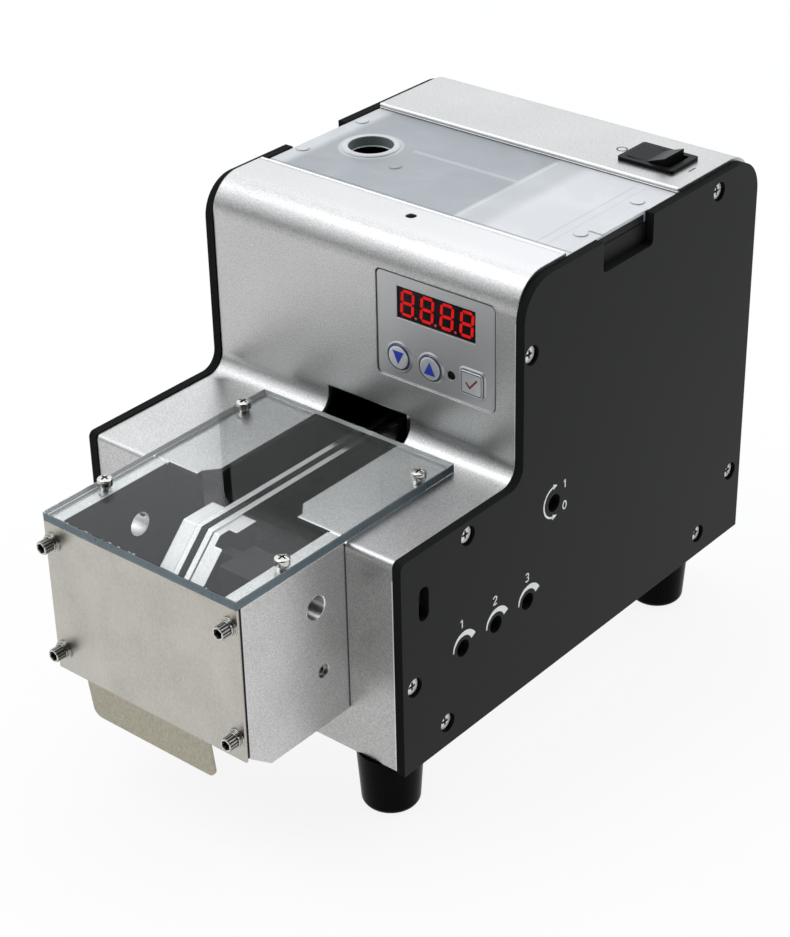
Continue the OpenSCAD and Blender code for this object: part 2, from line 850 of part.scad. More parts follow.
// Two upright blocks whose grooves hold the edges of the lifter
module lifter_guides() {
    gx0 = lifter_x - lifter_gap;
    gx1 = lifter_x + lifter_t + lifter_gap;
    top_z = carrier_z - 2;
    color(steel)
        difference() {
            for (y = [lifter_y0 - guide_len + 2.5, lifter_y1 - 2.5])
                block([gx0 - 2, y, base_top], [gx1 + 2, y + guide_len, top_z]);
            block([gx0, lifter_y0 - lifter_gap, base_top - 1], [gx1, lifter_y1 + lifter_gap, top_z + 1]);
        }
}

module rail_posts() {
    color(steel)
        for (y = [post_front, post_rear])
            block([rail_x0 - 2, y, base_top], [rail_x1 + 2, y + post_len, post_z]);
}

module rail_mounts() {
    color(rubber)
        for (y = [post_front, post_rear])
            block([rail_x0 - 1, y + 0.5, post_z], [rail_x1 + 1, y + post_len - 0.5, carrier_z]);
}

// Wound magnet on a stand, facing the rail's iron plate across a small gap
module vibrator_coil() {
    y0 = iron_y + shake + 0.6;
    z1 = carrier_z - 1.5;
    color([0.6, 0.35, 0.2]) {
        block([rail_x0 - 3, y0, z1 - coil_size[1]], [rail_x1 + 2, y0 + coil_size[0], z1]);
        block([rail_x0 - 3, y0 + 2, base_top], [rail_x1 + 2, y0 + coil_size[0] - 1, z1 - coil_size[1] + eps]);
    }
}

module lift_motor() {
    color(steel)
        difference() {
            union() {
                bar_x(motor_x1 - bracket_t - motor_size[1], motor_x1 - bracket_t, crank_y, crank_z, motor_size[0]);
                bar_x(motor_x1 - bracket_t - eps, motor_x1, crank_y, crank_z, 5.9);
            }
            bar_x(motor_x1 - 8, motor_x1 + 1, crank_y, crank_z, 2 + shaft_gap);
        }
}

module motor_bracket() {
    color(metal)
        difference() {
            union() {
                block([motor_x1 - bracket_t, crank_y - motor_size[0] - 2.5, base_top],
                    [motor_x1, crank_y + motor_size[0] + 2.5, crank_z + motor_size[0] + 1.5]);
                block([motor_x1 - 16, crank_y - motor_size[0] - 2.5, base_top],
                    [motor_x1, crank_y + motor_size[0] + 2.5, base_top + bracket_t]);
            }
            bar_x(motor_x1 - bracket_t - 1, motor_x1 + 1, crank_y, crank_z, 6);
        }
}

module roller_motor() {
    x1 = roller_x0 - 6 - bracket_t;
    color(steel)
        difference() {
            bar_x(x1 - roller_motor_size[1], x1, roller_y, roller_z, roller_motor_size[0]);
            bar_x(x1 - 4, x1 + 1, roller_y, roller_z, 1.5 + shaft_gap);
        }
}

module roller_bracket() {
    x1 = roller_x0 - 6;
    color(metal)
        difference() {
            union() {
                block([x1 - bracket_t, roller_y - 6, roller_z - 9], [x1, roller_y + 9, roller_z + 12]);
                block([x1 - bracket_t, rim_y0 + rim_t + 0.5, roller_z], [x1, roller_y + 9, deck_top - 2]);
            }
            bar_x(x1 - bracket_t - 1, x1 + 1, roller_y, roller_z, 2.2);
        }
}

// Two bearing uprights on a foot plate for the gate shaft
module gate_bracket() {
    color(metal)
        difference() {
            union() {
                block([gate_x + 5, gate_y - 5, base_top], [inner_x - 15, gate_y + 5, base_top + bracket_t]);
                for (x = [gate_x + 5, inner_x - 19])
                    block([x, gate_y - 5, base_top], [x + 4, gate_y + 5, gate_z + 5]);
            }
            bar_x(gate_x, inner_x - 10, gate_y, gate_z, gate_shaft_r + shaft_gap);
        }
}

module control_board() {
    color(green)
        block([pcb_x, trim_at[0] - 12, base_top], [pcb_x + pcb_t, trim_y[2] + 7, trim_z + 14]);
}

module trim_pot_bodies() {
    color([0.15, 0.25, 0.5])
        difference() {
            for (y = trim_y)
                block([pcb_x + pcb_t, y - 4, trim_z - 4], [pcb_x + pcb_t + 3.4, y + 4, trim_z + 4]);
            for (y = trim_y)
                bar_x(pcb_x + pcb_t + 1.4, inner_x, y, trim_z, 2.3 + shaft_gap);
        }
}

// Slotted screwdriver rotor of a trimmer
module trim_rotor(y) {
    x1 = inner_x - 0.6;
    color([0.9, 0.9, 0.85])
        difference() {
            bar_x(pcb_x + pcb_t + 1.5, x1, y, trim_z, 2.3);
            block([x1 - 0.8, y - 1.7, trim_z - 0.35], [x1 + 1, y + 1.7, trim_z + 0.35]);
        }
}

module trim_rotor_1() {
    trim_rotor(trim_y[0]);
}

module trim_rotor_2() {
    trim_rotor(trim_y[1]);
}

module trim_rotor_3() {
    trim_rotor(trim_y[2]);
}

// Outline of the set button, larger by grow all round
module set_outline(grow) {
    size = set_size + [2 * grow, 2 * grow];
    translate([overlay_x + button_set_x - size[0] / 2, row_z - size[1] / 2])
        round_rect(size, 0.8 + grow);
}

module display_overlay() {
    color(metal)
        difference() {
            union() {
                along_y(overlay_y, overlay_t)
                    translate([overlay_x, overlay_z])
                        round_rect(overlay_size, 2);
                for (x = [2.5, overlay_size[0] - 2.5], z = [17, overlay_size[1] - 2.8])
                    bar_y(overlay_y + overlay_t - eps, board_y, overlay_x + x, overlay_z + z, 1.8);
            }
            block([overlay_x + window_at[0], overlay_y - 1, overlay_z + window_at[1]],
                [overlay_x + window_at[0] + window_size[0], overlay_y + overlay_t + 1,
                overlay_z + window_at[1] + window_size[1]]);
            for (x = [button_down_x, button_up_x])
                bar_y(overlay_y - 1, overlay_y + overlay_t + 1, overlay_x + x, row_z, button_r + button_gap);
            bar_y(overlay_y - 1, overlay_y + overlay_t + 1, overlay_x + lamp_x, row_z, 1.5);
            along_y(overlay_y - 1, overlay_t + 2)
                set_outline(button_gap);
        }
}

module display_board() {
    color(green)
        block([overlay_x + 0.5, board_y, overlay_z + 0.5],
            [overlay_x + overlay_size[0] - 0.5, board_y + board_t, overlay_z + overlay_size[1] - 0.5]);
}

module led_display() {
    gap = 0.1;
    color(black)
        block([overlay_x + window_at[0] + gap, overlay_y + 0.5, overlay_z + window_at[1] + gap],
            [overlay_x + window_at[0] + window_size[0] - gap, board_y,
            overlay_z + window_at[1] + window_size[1] - gap]);
}

module tact_switches() {
    color(black)
        for (x = [button_down_x, button_up_x, button_set_x]) {
            block([overlay_x + x - 3, board_y - 2.6, row_z - 3], [overlay_x + x + 3, board_y, row_z + 3]);
            bar_y(board_y - 3.4, board_y - 2.6 + eps, overlay_x + x, row_z, 1.6);
        }
}

module status_led() {
    color(black)
        bar_y(overlay_y + 0.4, board_y, overlay_x + lamp_x, row_z, 1.4);
}

// Flange and stem behind a button's cap
module button_stem(x) {
    bar_y(overlay_y + overlay_t + 0.1, overlay_y + overlay_t + 0.8, overlay_x + x, row_z, button_r + 0.7);
    bar_y(overlay_y + overlay_t + 0.8 - eps, board_y - 3.4 - button_travel - 0.15, overlay_x + x, row_z, 1.4);
}

// Round button: a flat cap with a bevelled edge
module round_button(x) {
    cap_h = overlay_y + overlay_t + 0.1 - button_y;
    edge = 0.4;
    color(bright) {
        facing_front(overlay_x + x, button_y + cap_h, row_z) {
            cylinder(r = button_r, h = cap_h - edge);
            translate([0, 0, cap_h - edge])
                cylinder(r1 = button_r, r2 = button_r - 0.7, h = edge);
        }
        button_stem(x);
    }
}

module button_down() {
    round_button(button_down_x);
}

module button_up() {
    round_button(button_up_x);
}

module button_set() {
    color(bright) {
        along_y(button_y, overlay_y + overlay_t + 0.1 + eps - button_y)
            set_outline(0);
        button_stem(button_set_x);
    }
}

// Switch body through the cover with its bezel on top and a well for the rocker
module switch_housing() {
    w = bezel_size[0];
    d = bezel_size[1];
    color(black)
        translate([switch_x, switch_y, cover_top])
            difference() {
                union() {
                    translate([-w / 2, -d / 2, 0])
                        linear_extrude(bezel_h)
                            round_rect([w, d], 1);
                    block([-w / 2 + 1, -d / 2 + 1, -13], [w / 2 - 1, d / 2 - 1, eps]);
                    for (x = [-5, 1])
                        block([x, -2.4, -20], [x + 0.8, 2.4, -13 + eps]);
                }
                block([-w / 2 + 2.2, -d / 2 + 2, -9], [w / 2 - 2.2, d / 2 - 2, bezel_h + 1]);
            }
}

// Rocker with a shallow V top on a cross axis, its left end pressed down
module power_rocker() {
    half = bezel_size[0] / 2 - 3.3;
    thick = bezel_size[1] - 4.4;
    color(black)
        translate([switch_x, switch_y, cover_top - 3.2])
            rotate([0, -rocker_tilt, 0])
                union() {
                    along_y(-thick / 2, thick)
                        polygon([[-half + 0.9, -1], [half - 0.9, -1], [half, 5.6], [0, 4.3], [-half, 5.6]]);
                    bar_y(-thick / 2, thick / 2, 0, 0, 2.8);
                }
}

module dc_jack() {
    y1 = panel_d - cover_gap;
    z = panel_z + jack_up;
    color(black) {
        difference() {
            union() {
                bar_y(y1 - 13, panel_d, jack_x, z, 4);
                bar_y(y1, panel_d, jack_x, z, 5.4);
                bar_y(y1 - sheet_t - 2, y1 - sheet_t, jack_x, z, 5.6);
            }
            bar_y(y1 - 10, panel_d + 1, jack_x, z, 3.1);
        }
        bar_y(y1 - 10 - eps, y1 - 1, jack_x, z, 1.05);
    }
}

// Aluminium side wall of the counting box, from its left face
module box_wall(x0) {
    color(metal)
        difference() {
            along_x(x0, wall_t)
                polygon([[wall_y, wall_z + wall_bevel[1]], [wall_y + wall_bevel[0], wall_z],
                    [low_y, wall_z], [low_y, deck_z], [wall_y, deck_z]]);
            bar_x(x0 - 1, x0 + wall_t + 1, wall_y + cross_hole_at[0], wall_z + cross_hole_at[1], cross_hole_r);
            bar_x(x0 - 1, x0 + wall_t + 1, wall_y + set_hole_at[0], wall_z + set_hole_at[1], set_screw_r + 0.05);
            for (z = [deck_z - cap_top, plate_z + cap_low])
                bar_y(wall_y - 1, wall_y + 11, x0 + wall_t / 2, z, cap_hole);
            for (z = wall_screw_z)
                bar_y(low_y - 9, low_y + 1, x0 + wall_t / 2, z, m3_hole);
            translate([x0 + wall_t / 2, -glass_screw_front, deck_z - 8])
                cylinder(r = m3_hole, h = 10);
        }
}

module box_wall_left() {
    box_wall(box_x0);
}

module box_wall_right() {
    box_wall(box_x1 - wall_t);
}

// Screws that hold the walls from inside the cover, and a set screw in each wall
module box_wall_screws() {
    y = wall_y + set_hole_at[0];
    set_z = wall_z + set_hole_at[1];
    color(bright) {
        for (x = [box_x0 + wall_t / 2, box_x1 - wall_t / 2], z = wall_screw_z)
            translate([x, skin_in, z])
                rotate([-90, 0, 0])
                    pan_screw(2.7, 1.8, m3_r, sheet_t + 7);
        difference() {
            for (x = [box_x0 + 0.8, box_x1 - wall_t + 0.8])
                bar_x(x, x + wall_t - 1.6, y, set_z, set_screw_r);
            for (x = [box_x0 - 1, box_x1 - 2.4])
                translate([x, y, set_z])
                    rotate([0, 90, 0])
                        cylinder(r = 1.15, h = 3.4, $fn = 6);
        }
    }
}

// Black plates under the deck along both edges of the rail cut
module channel_liner() {
    color(black)
        for (x = [cut_x0 - liner_t, cut_x1])
            block([x, flare_at[1] + 0.2, deck_z - sheet_t - liner_h],
                [x + liner_t, face_y - cove_r - 0.3, deck_z - sheet_t]);
}

// Bent sheet that carries the counted screws forward to the outlet
module discharge_chute() {
    top_z = deck_z - cut_down - 2;
    color(steel)
        along_x(box_x0 + wall_t + 0.1, box_w - 2 * wall_t - 0.2)
            polygon([[low_y, top_z], [low_y, top_z - 12], [wall_y + 14, wall_z + 4], [wall_y + 14, wall_z + 5.2],
                [low_y - 1, top_z - 10.6], [low_y - 1, top_z]]);
}

module front_gasket() {
    color(rubber)
        difference() {
            for (x = [box_x0, box_x1 - wall_t])
                block([x + 0.4, seal_y, plate_z + 0.5], [x + wall_t - 0.4, wall_y, deck_z - 0.2]);
            for (s = cap_spots)
                bar_y(seal_y - 1, wall_y + 1, s[0], s[1], cap_hole + 0.2);
        }
}

// Stainless front plate with its bent tongue
module front_plate() {
    color(steel)
        difference() {
            union() {
                block([box_x0, plate_y, plate_z], [box_x1, seal_y, deck_z]);
                translate([tongue_span[0], seal_y, plate_z + 1])
                    rotate([tongue_bend, 0, 0])
                        along_y(-plate_t, plate_t)
                            translate([0, -tongue_h - 1])
                                union() {
                                    round_rect([tongue_span[1], tongue_h], tongue_r);
                                    translate([0, tongue_h / 2])
                                        square([tongue_span[1], tongue_h / 2 + 1]);
                                }
            }
            for (s = cap_spots)
                bar_y(plate_y - 1, seal_y + 1, s[0], s[1], cap_hole + 0.2);
        }
}

module front_plate_screws() {
    color(bright)
        for (s = cap_spots)
            facing_front(s[0], plate_y - cap_stack, s[1])
                cap_screw(2.3, cap_head, cap_r, cap_stack + plate_t + seal_t + 10);
}

// A plain washer and a spring washer under each cap screw
module front_plate_washers() {
    color(bright)
        for (s = cap_spots)
            facing_front(s[0], plate_y, s[1])
                difference() {
                    union() {
                        cylinder(r = 3.05, h = 0.6);
                        translate([0, 0, 0.6 - eps])
                            cylinder(r = 2.45, h = cap_stack - 0.6 + eps);
                    }
                    translate([0, 0, -1])
                        cylinder(r = cap_hole + 0.1, h = cap_stack + 2);
                }
}

module top_window() {
    color(clear)
        difference() {
            block([box_x0, plate_y, deck_z], [box_x1, glass_back, deck_z + glass_t]);
            for (s = glass_spots)
                translate([s[0], s[1], deck_z - 1])
                    cylinder(r = m3_hole + 0.2, h = glass_t + 2);
        }
}

module top_window_screws() {
    color(bright)
        for (s = glass_spots)
            translate([s[0], s[1], deck_z + glass_t])
                pan_screw(2.25, 2.4, m3_r, glass_t + 6.5, 2.2);
}

// Sensor block on the right wall with a nose in the notch of the right track block
module count_sensor() {
    nose_x = rail_x + block_half - block_notch + 0.8;
    color([0.1, 0.1, 0.11]) {
        block([rail_x + block_half + 3, bend_y - 7, rail_top - 22], [box_x1 - wall_t, bend_y + 7, rail_top - 5]);
        block([nose_x, bend_y - 1, rail_top - 12], [rail_x + block_half + 3 + eps, bend_y + 2.8, rail_top - 5]);
    }
}

// Frosted lid: a ringed finger hole, round bumps, a grip strip, a fine front groove and ribs below
module lid() {
    x1 = inner_x - lid_gap;
    hole_x = lid_hole_at[0];
    mid_lid = (lid_y0 + lid_y1) / 2;
    hole_y = mid_lid + lid_hole_at[1];
    top_z = lid_z + lid_t;
    row = lid_y0 + notch_back + 1.2;
    far_row = lid_y1 - bump_back;
    bumps = [[-x1 + 2.8, row], [-x1 + 2.8, far_row], [x1 - 5.7, row], [x1 - 5.7, far_row], [hole_x + 16.5, hole_y - 8]];
    rib_y0 = rim_y0 + rim_t + 0.3;
    rib_y1 = rim_y1 - rim_t - 0.3;
    color(frost)
        difference() {
            union() {
                block([-x1, lid_y0 + lid_gap, lid_z], [x1, lid_y1 - lid_gap, top_z]);
                translate([hole_x, hole_y, lid_z])
                    cylinder(r = lid_ring_r, h = lid_t + lid_ring_h * 0.6);
                translate([hole_x, hole_y, top_z + lid_ring_h * 0.6 - eps])
                    cylinder(r1 = lid_ring_r, r2 = lid_ring_r - 0.7, h = lid_ring_h * 0.4);
                for (b = bumps)
                    translate([b[0], b[1], lid_z])
                        cylinder(r = bump_r, h = lid_t + bump_h);
                block([x1 - grip_size[0], (row + far_row - grip_size[1]) / 2, lid_z],
                    [x1, (row + far_row + grip_size[1]) / 2, top_z + bump_h]);
                block([rib_at[0] - rib_w / 2, rib_y0, lid_z - rib_h], [rib_at[0] + rib_w / 2, rib_y1, lid_z + eps]);
                block([hole_x + lid_ring_r + 4, mid_lid + rib_at[1] - rib_w / 2, lid_z - rib_h],
                    [rib_at[0], mid_lid + rib_at[1] + rib_w / 2, lid_z + eps]);
            }
            translate([hole_x, hole_y, lid_z - 1])
                cylinder(r = lid_hole_r, h = lid_t + 3);
            block([-x1 - 1, lid_y0 + 3.3, top_z - 0.25], [x1 + 1, lid_y0 + 3.7, top_z + 0.1]);
        }
}

// Gate: a long shaft with a slotted end, an arm and a finger that reaches over the rail
module lock_gate() {
    x_end = inner_x - 0.8;
    color(steel)
        difference() {
            union() {
                bar_x(gate_x, x_end, gate_y, gate_z, gate_shaft_r);
                bar_x(gate_x, gate_x + 2.5, gate_y, gate_z, 3.4);
                block([gate_x, gate_y - 1.5, gate_z], [gate_x + 2.5, gate_y + 1.5, gate_z + gate_arm]);
                bar_x(rail_x - 2, gate_x + 2.5, gate_y, gate_z + gate_arm, finger_r);
            }
            block([x_end - 1, gate_y - 3, gate_z - 0.4], [x_end + 1, gate_y + 3, gate_z + 0.4]);
        }
}

// Lifting plate with a slanted top and a level slot for the crank pin
module lifter() {
    slot_half = pin_r + yoke_gap;
    top_z = rail_top - 4;
    color(bright)
        difference() {
            along_y(lifter_y0, lifter_len)
                polygon([[lifter_x, crank_z - 9.5], [lifter_x + lifter_t, crank_z - 9.5],
                    [lifter_x + lifter_t, top_z + lifter_t * 0.9], [lifter_x, top_z]]);
            block([lifter_x - 1, crank_y - crank_r, crank_z - slot_half],
                [lifter_x + lifter_t + 1, crank_y + crank_r, crank_z + slot_half]);
            for (s = [-1, 1])
                bar_x(lifter_x - 1, lifter_x + lifter_t + 1, crank_y + s * crank_r, crank_z, slot_half);
        }
}

// Crank disc on its shaft, with its pin level with the shaft at rest
module crank_disc() {
    color(steel) {
        bar_x(disc_x0, disc_x1, crank_y, crank_z, disc_r);
        bar_x(motor_x1 + 0.4, disc_x0 + eps, crank_y, crank_z, 4);
        bar_x(motor_x1 - 7.8, motor_x1 + 1, crank_y, crank_z, 2);
        bar_x(disc_x1 - eps, lifter_x + lifter_t + 0.4, crank_y + crank_r, crank_z, pin_r);
    }
}

// Brush roller: a core with straight rows of bristles and its drive shaft
module brush_roller() {
    rows = 12;
    color([0.2, 0.2, 0.22]) {
        bar_x(roller_x0, roller_x1, roller_y, roller_z, brush_r - 3);
        bar_x(roller_x0 - 11.8, roller_x0 + eps, roller_y, roller_z, 1.5);
        for (k = [0 : rows - 1])
            translate([roller_x0, roller_y, roller_z])
                rotate([k * 360 / rows, 0, 0])
                    translate([0, -0.8, 0])
                        cube([roller_x1 - roller_x0, 1.6, brush_r - 0.1]);
    }
}

// Side outline of the rail: level from rear y1 to the bend, then sloping down at 45 degrees
module rail_outline(y1, drop, depth, run) {
    top_z = rail_top - drop;
    k = tan(22.5);
    polygon([[y1, top_z], [bend_y, top_z], [bend_y - run, top_z - run],
        [bend_y - run + depth * sin(45), top_z - run - depth * cos(45)],
        [bend_y + depth * k, top_z - depth], [y1, top_z - depth]]);
}

module feed_rails() {
    color(bright)
        for (x = [rail_x0, rail_x1 - bar_w])
            along_x(x, bar_w)
                rail_outline(rail_y1, 0, bar_h, slope_run);
}

module track_block_left() {
    color(metal)
        along_x(rail_x - block_half, rail_x0 - rail_x + block_half)
            rail_outline(-block_back, 0.5, bar_h, slope_run - 0.5);
}

module track_block_right() {
    color(metal)
        difference() {
            along_x(rail_x1, rail_x + block_half - rail_x1)
                rail_outline(-block_back, 0.5, bar_h, slope_run - 0.5);
            along_x(rail_x + block_half - block_notch, block_notch + 1)
                polygon([[bend_y + 3.7, rail_top + 1], [bend_y + 3.7, rail_top - 20], [bend_y - 2.4, rail_top - 20],
                    [bend_y - 2.4, rail_top + 1]]);
        }
}

// Bar under the rails with the iron plate that the magnet pulls
module rail_carrier() {
    color(steel) {
        block([rail_x0, post_front - 3, carrier_z], [rail_x1, rail_y1 + 3, carrier_z + carrier_h]);
        block([rail_x0 - 2, iron_y - 3, carrier_z - 12], [rail_x1 + 2, iron_y, carrier_z + eps]);
    }
}

placed() base_plate();
placed() front_cover();
placed() rear_cover();
placed() side_panel_left();
placed() side_panel_right();
placed() panel_screws();
placed() foot_front_left();
placed() foot_front_right();
placed() foot_rear_left();
placed() foot_rear_right();
placed() foot_screws();
placed() hopper_rim();
placed() hopper_bin();
placed() drive_cover();
placed() lifter_guides();
placed() rail_posts();
placed() rail_mounts();
placed() vibrator_coil();
placed() lift_motor();
placed() motor_bracket();
placed() roller_motor();
placed() roller_bracket();
placed() gate_bracket();
placed() control_board();
placed() trim_pot_bodies();
placed() display_overlay();
placed() display_board();
placed() led_display();
placed() tact_switches();
placed() status_led();
placed() switch_housing();
placed() dc_jack();
placed() box_wall_left();
placed() box_wall_right();
placed() box_wall_screws();
placed() channel_liner();
placed() discharge_chute();
placed() front_gasket();
placed() front_plate();
placed() front_plate_screws();
placed() front_plate_washers();
placed() top_window();
placed() top_window_screws();
placed() count_sensor();
placed() lid();
placed() power_rocker();
placed() button_down();
placed() button_up();
placed() button_set();
placed() trim_rotor_1();
placed() trim_rotor_2();
placed() trim_rotor_3();
placed() lock_gate();
placed() lifter();
placed() crank_disc();
placed() brush_roller();
placed() feed_rails();
placed() track_block_left();
placed() track_block_right();
placed() rail_carrier();
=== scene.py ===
"""Looks of the screw feeder: finishes, printed marks, the lit display and fine trim round the frame."""
import math

import bpy
import bmesh
import numpy as np
from mathutils import Matrix


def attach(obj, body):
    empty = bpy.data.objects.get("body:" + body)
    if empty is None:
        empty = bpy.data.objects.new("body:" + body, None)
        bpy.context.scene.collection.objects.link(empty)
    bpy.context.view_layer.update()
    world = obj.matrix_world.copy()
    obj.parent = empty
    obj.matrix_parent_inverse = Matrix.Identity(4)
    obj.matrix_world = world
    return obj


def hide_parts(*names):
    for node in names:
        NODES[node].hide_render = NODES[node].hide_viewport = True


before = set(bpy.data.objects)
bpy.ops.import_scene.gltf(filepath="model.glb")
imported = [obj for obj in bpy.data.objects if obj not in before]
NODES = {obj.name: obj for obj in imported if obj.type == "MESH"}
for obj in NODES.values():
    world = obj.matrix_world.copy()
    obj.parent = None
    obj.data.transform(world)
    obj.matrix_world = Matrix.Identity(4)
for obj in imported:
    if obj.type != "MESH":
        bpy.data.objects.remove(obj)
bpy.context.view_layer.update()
TAU = 2 * math.pi

# Sizes in millimetres: x from the mid width, y from the panels' front edge, z from the floor.
MID_Y = 64.45
PANEL_FACE = 61.5
LABEL = dict(x=6.8, z=111.8, wide=44.2, high=34.4, face=56.35)
WINDOW = dict(x=14.5, z=132.1, high=10.3, face=56.85)
DIGIT = dict(first=3.68, pitch=7.33, wide=4.1, high=7.6, thick=0.98, gap=0.3, lean=0.07, lift=0.06)
POINT = dict(aside=3.1, below=3.9, r=0.45, lift=0.05)
BUTTON_Z = 119.2
BUTTONS = dict(button_down=15.2, button_up=27.1, button_set=42.6)
BUTTON_FRONT = 55.65
COVER_TOP = 156.7
SWITCH = (40.9, 151.1)
DIALS = (27.4, 43.0, 58.6)
DIAL_Z = 50.5
DIAL_BAND = dict(inner=4.15, thin=0.45, wide=2.2, start=178, end=22)
GATE = (71.2, 78.9)
GATE_BOW = dict(centre=(0.2, 0.4), r=5.2)
PANEL_SCREWS = ((154.5, 150.2), (59.4, 133.0), (30.0, 87.6), (5.3, 48.8), (20.0, 28.0), (153.0, 28.0),
                (171.0, 43.8))
PANEL_SEAT = 59.3
WINDOW_SCREWS = ((-31.3, -21.7), (37.9, -21.7), (-31.3, 37.0), (37.9, 37.0))
WINDOW_SHEET = dict(x=(-34.3, 40.9), y=(-43.4, 49.5), z=(92.1, 95.1))
WINDOW_ARRIS = 0.22
CAP_SCREWS = ((-31.3, 86.1), (37.9, 86.1), (-31.3, 49.0), (37.9, 49.0))
CAP_SEAT = -45.0
LID_HOLE = (-39.2, 108.9)
LID_UNDER = 152.2
LID_RIBS = (((14.6, 82.0, 100.0), (16.4, 133.2, 200.0)), ((-25.8, 113.1, 100.0), (15.0, 114.9, 200.0)))
LID_SHADE_LINES = (((44.9, 82.0, 100.0), (45.7, 133.2, 200.0)), ((48.4, 82.0, 100.0), (48.9, 133.2, 200.0)))
BOX_HOLLOW = ((-28.36, -42.75, 35.7), (34.96, 3.4, 91.95))
TONGUE_TOP = 42.0
WALL_HOLE = dict(x=34.9, y=-12.3, z=76.9, r=3.8, long=6.0, pitch=0.3)
HEM_END = 58.2
INK = 0.03

# Where the front cover gets painted shade low down at its right and a painted highlight on top, stronger to
# the right: the limits over which each sets in.
PAINTED_LOW_SHADE = dict(x=(0.0, 20.0), y=(3.0, 1.0), z=(91.5, 88.5), fade=(45.0, 56.0), share=(0.45, 1.0), shade=0.66)
PAINTED_TOP_HIGHLIGHT = dict(x=(-60.0, 60.0), y=(100.0, 98.0), z=(155.2, 156.4), share=(0.34, 0.75), shade=0.725)


def to_row(points):
    """Machine millimetres to row metres: the half depth comes off y, then all is divided by 1000."""
    return (np.asarray(points, float) - (0, MID_Y, 0)) / 1000


def row_point(point):
    """One point in row metres, as a plain tuple."""
    return tuple(to_row(point).tolist())


def grey(level):
    """A colour of three equal parts."""
    return (level, level, level)


# Shapes

def quads_of(rows, columns, loop):
    """Corner numbers of the quads between closed rows of points; loop joins the last row to the first."""
    i, j = np.meshgrid(np.arange(rows if loop else rows - 1), np.arange(columns), indexing="ij")
    after, beside = (i + 1) % rows, (j + 1) % columns
    corners = [(i, j), (i, beside), (after, beside), (after, j)]
    return np.stack([row * columns + column for row, column in corners], -1).reshape(-1, 4)


def skin(sheet, loop=False, caps=False):
    """Points and faces of a (rows, columns, 3) array; caps closes the first and last row with a face each."""
    rows, columns = sheet.shape[:2]
    faces = quads_of(rows, columns, loop).tolist()
    if caps:
        faces += [list(range(columns))[::-1], list(range((rows - 1) * columns, rows * columns))]
    return sheet.reshape(-1, 3), faces


def side_place(y, z, face=PANEL_FACE, side=1):
    """A flat picture on a side panel, the right one for side 1: u runs to the rear, v up, height outwards."""
    return lambda u, v, h: np.stack([side * (face + h) + 0 * u, y + u, z + v], -1)


def front_place(x, z, face):
    """A flat picture on the front: u runs to the right, v up, height towards the viewer."""
    return lambda u, v, h: np.stack([x + u, face - h + 0 * u, z + v], -1)


def top_place(x, y, face=COVER_TOP):
    """A flat picture on the top: u runs to the right, v to the rear, height up."""
    return lambda u, v, h: np.stack([x + u, y + v, face + h + 0 * u], -1)


def stroke(line, half, place, thick=INK, sink=0.05, closed=False):
    """A flat band along a line of (n, 2) points: each point moves by half the width to both sides along the
    line's normal, and the corners run from sink below the face to thick above it."""
    line = np.asarray(line, float)
    half = np.broadcast_to(np.asarray(half, float), len(line))
    if closed:
        along = np.roll(line, -1, 0) - np.roll(line, 1, 0)
    else:
        along = np.gradient(line, axis=0)
    along /= np.maximum(np.linalg.norm(along, axis=1, keepdims=True), 1e-9)
    aside = np.stack([-along[:, 1], along[:, 0]], -1) * half[:, None]
    left, right = line + aside, line - aside
    low, high = np.full(len(line), -sink), np.full(len(line), thick)
    corners = [(left, low), (right, low), (right, high), (left, high)]
    sheet = np.stack([place(p[:, 0], p[:, 1], h) for p, h in corners], 1)
    return skin(sheet, loop=closed, caps=not closed)


def arc(centre, radius, start, end, count=48):
    """Points on a circle from one angle to another, in degrees, anticlockwise from u."""
    a = np.radians(np.linspace(start, end, count))
    return np.stack([centre[0] + radius * np.cos(a), centre[1] + radius * np.sin(a)], -1)


def circle(radius, count):
    """A closed circle about the origin."""
    return arc((0, 0), radius, 0, 360 * (count - 1) / count, count)


def path(*points, step=0.08):
    """Straight runs between the given points, cut into even steps."""
    p = np.asarray(points, float)
    runs = np.linalg.norm(np.diff(p, axis=0), axis=1)
    far = np.concatenate([[0], np.cumsum(runs)])
    at = np.linspace(0, far[-1], max(3, int(far[-1] / step)))
    return np.stack([np.interp(at, far, p[:, 0]), np.interp(at, far, p[:, 1])], -1)


def round_frame(wide, high, radius):
    """A closed rounded rectangle about the origin: four quarter arcs about the corner centres."""
    a = np.radians(np.linspace(0, 90, 14))
    quarter = np.stack([np.cos(a), np.sin(a)], -1) * radius
    turn = np.array([[0, -1], [1, 0]])
    spots = np.array([[1, 1], [-1, 1], [-1, -1], [1, -1]]) * (wide / 2 - radius, high / 2 - radius)
    return np.concatenate([spots[k] + quarter @ np.linalg.matrix_power(turn, k).T for k in range(4)])


def lathe(profile, place):
    """A profile of (radius, height) points turned about the height axis of a place."""
    profile = np.asarray(profile, float)
    a = np.linspace(0, TAU, 72, endpoint=False)[:, None]
    r, h = profile[:, 0][None], profile[:, 1][None] + 0 * a
    return skin(place(r * np.cos(a), r * np.sin(a), h), loop=True)


def frame_bead(outline, section, place):
    """A closed outline carried outwards by each section point's offset and lifted by its height."""
    along = np.roll(outline, -1, 0) - np.roll(outline, 1, 0)
    along /= np.linalg.norm(along, axis=1, keepdims=True)
    outwards = np.stack([along[:, 1], -along[:, 0]], -1)
    section = np.asarray(section, float)
    flat = outline[:, None] + outwards[:, None] * section[None, :, :1]
    high = np.broadcast_to(section[None, :, 1], flat.shape[:2])
    return skin(place(flat[..., 0], flat[..., 1], high), loop=True)


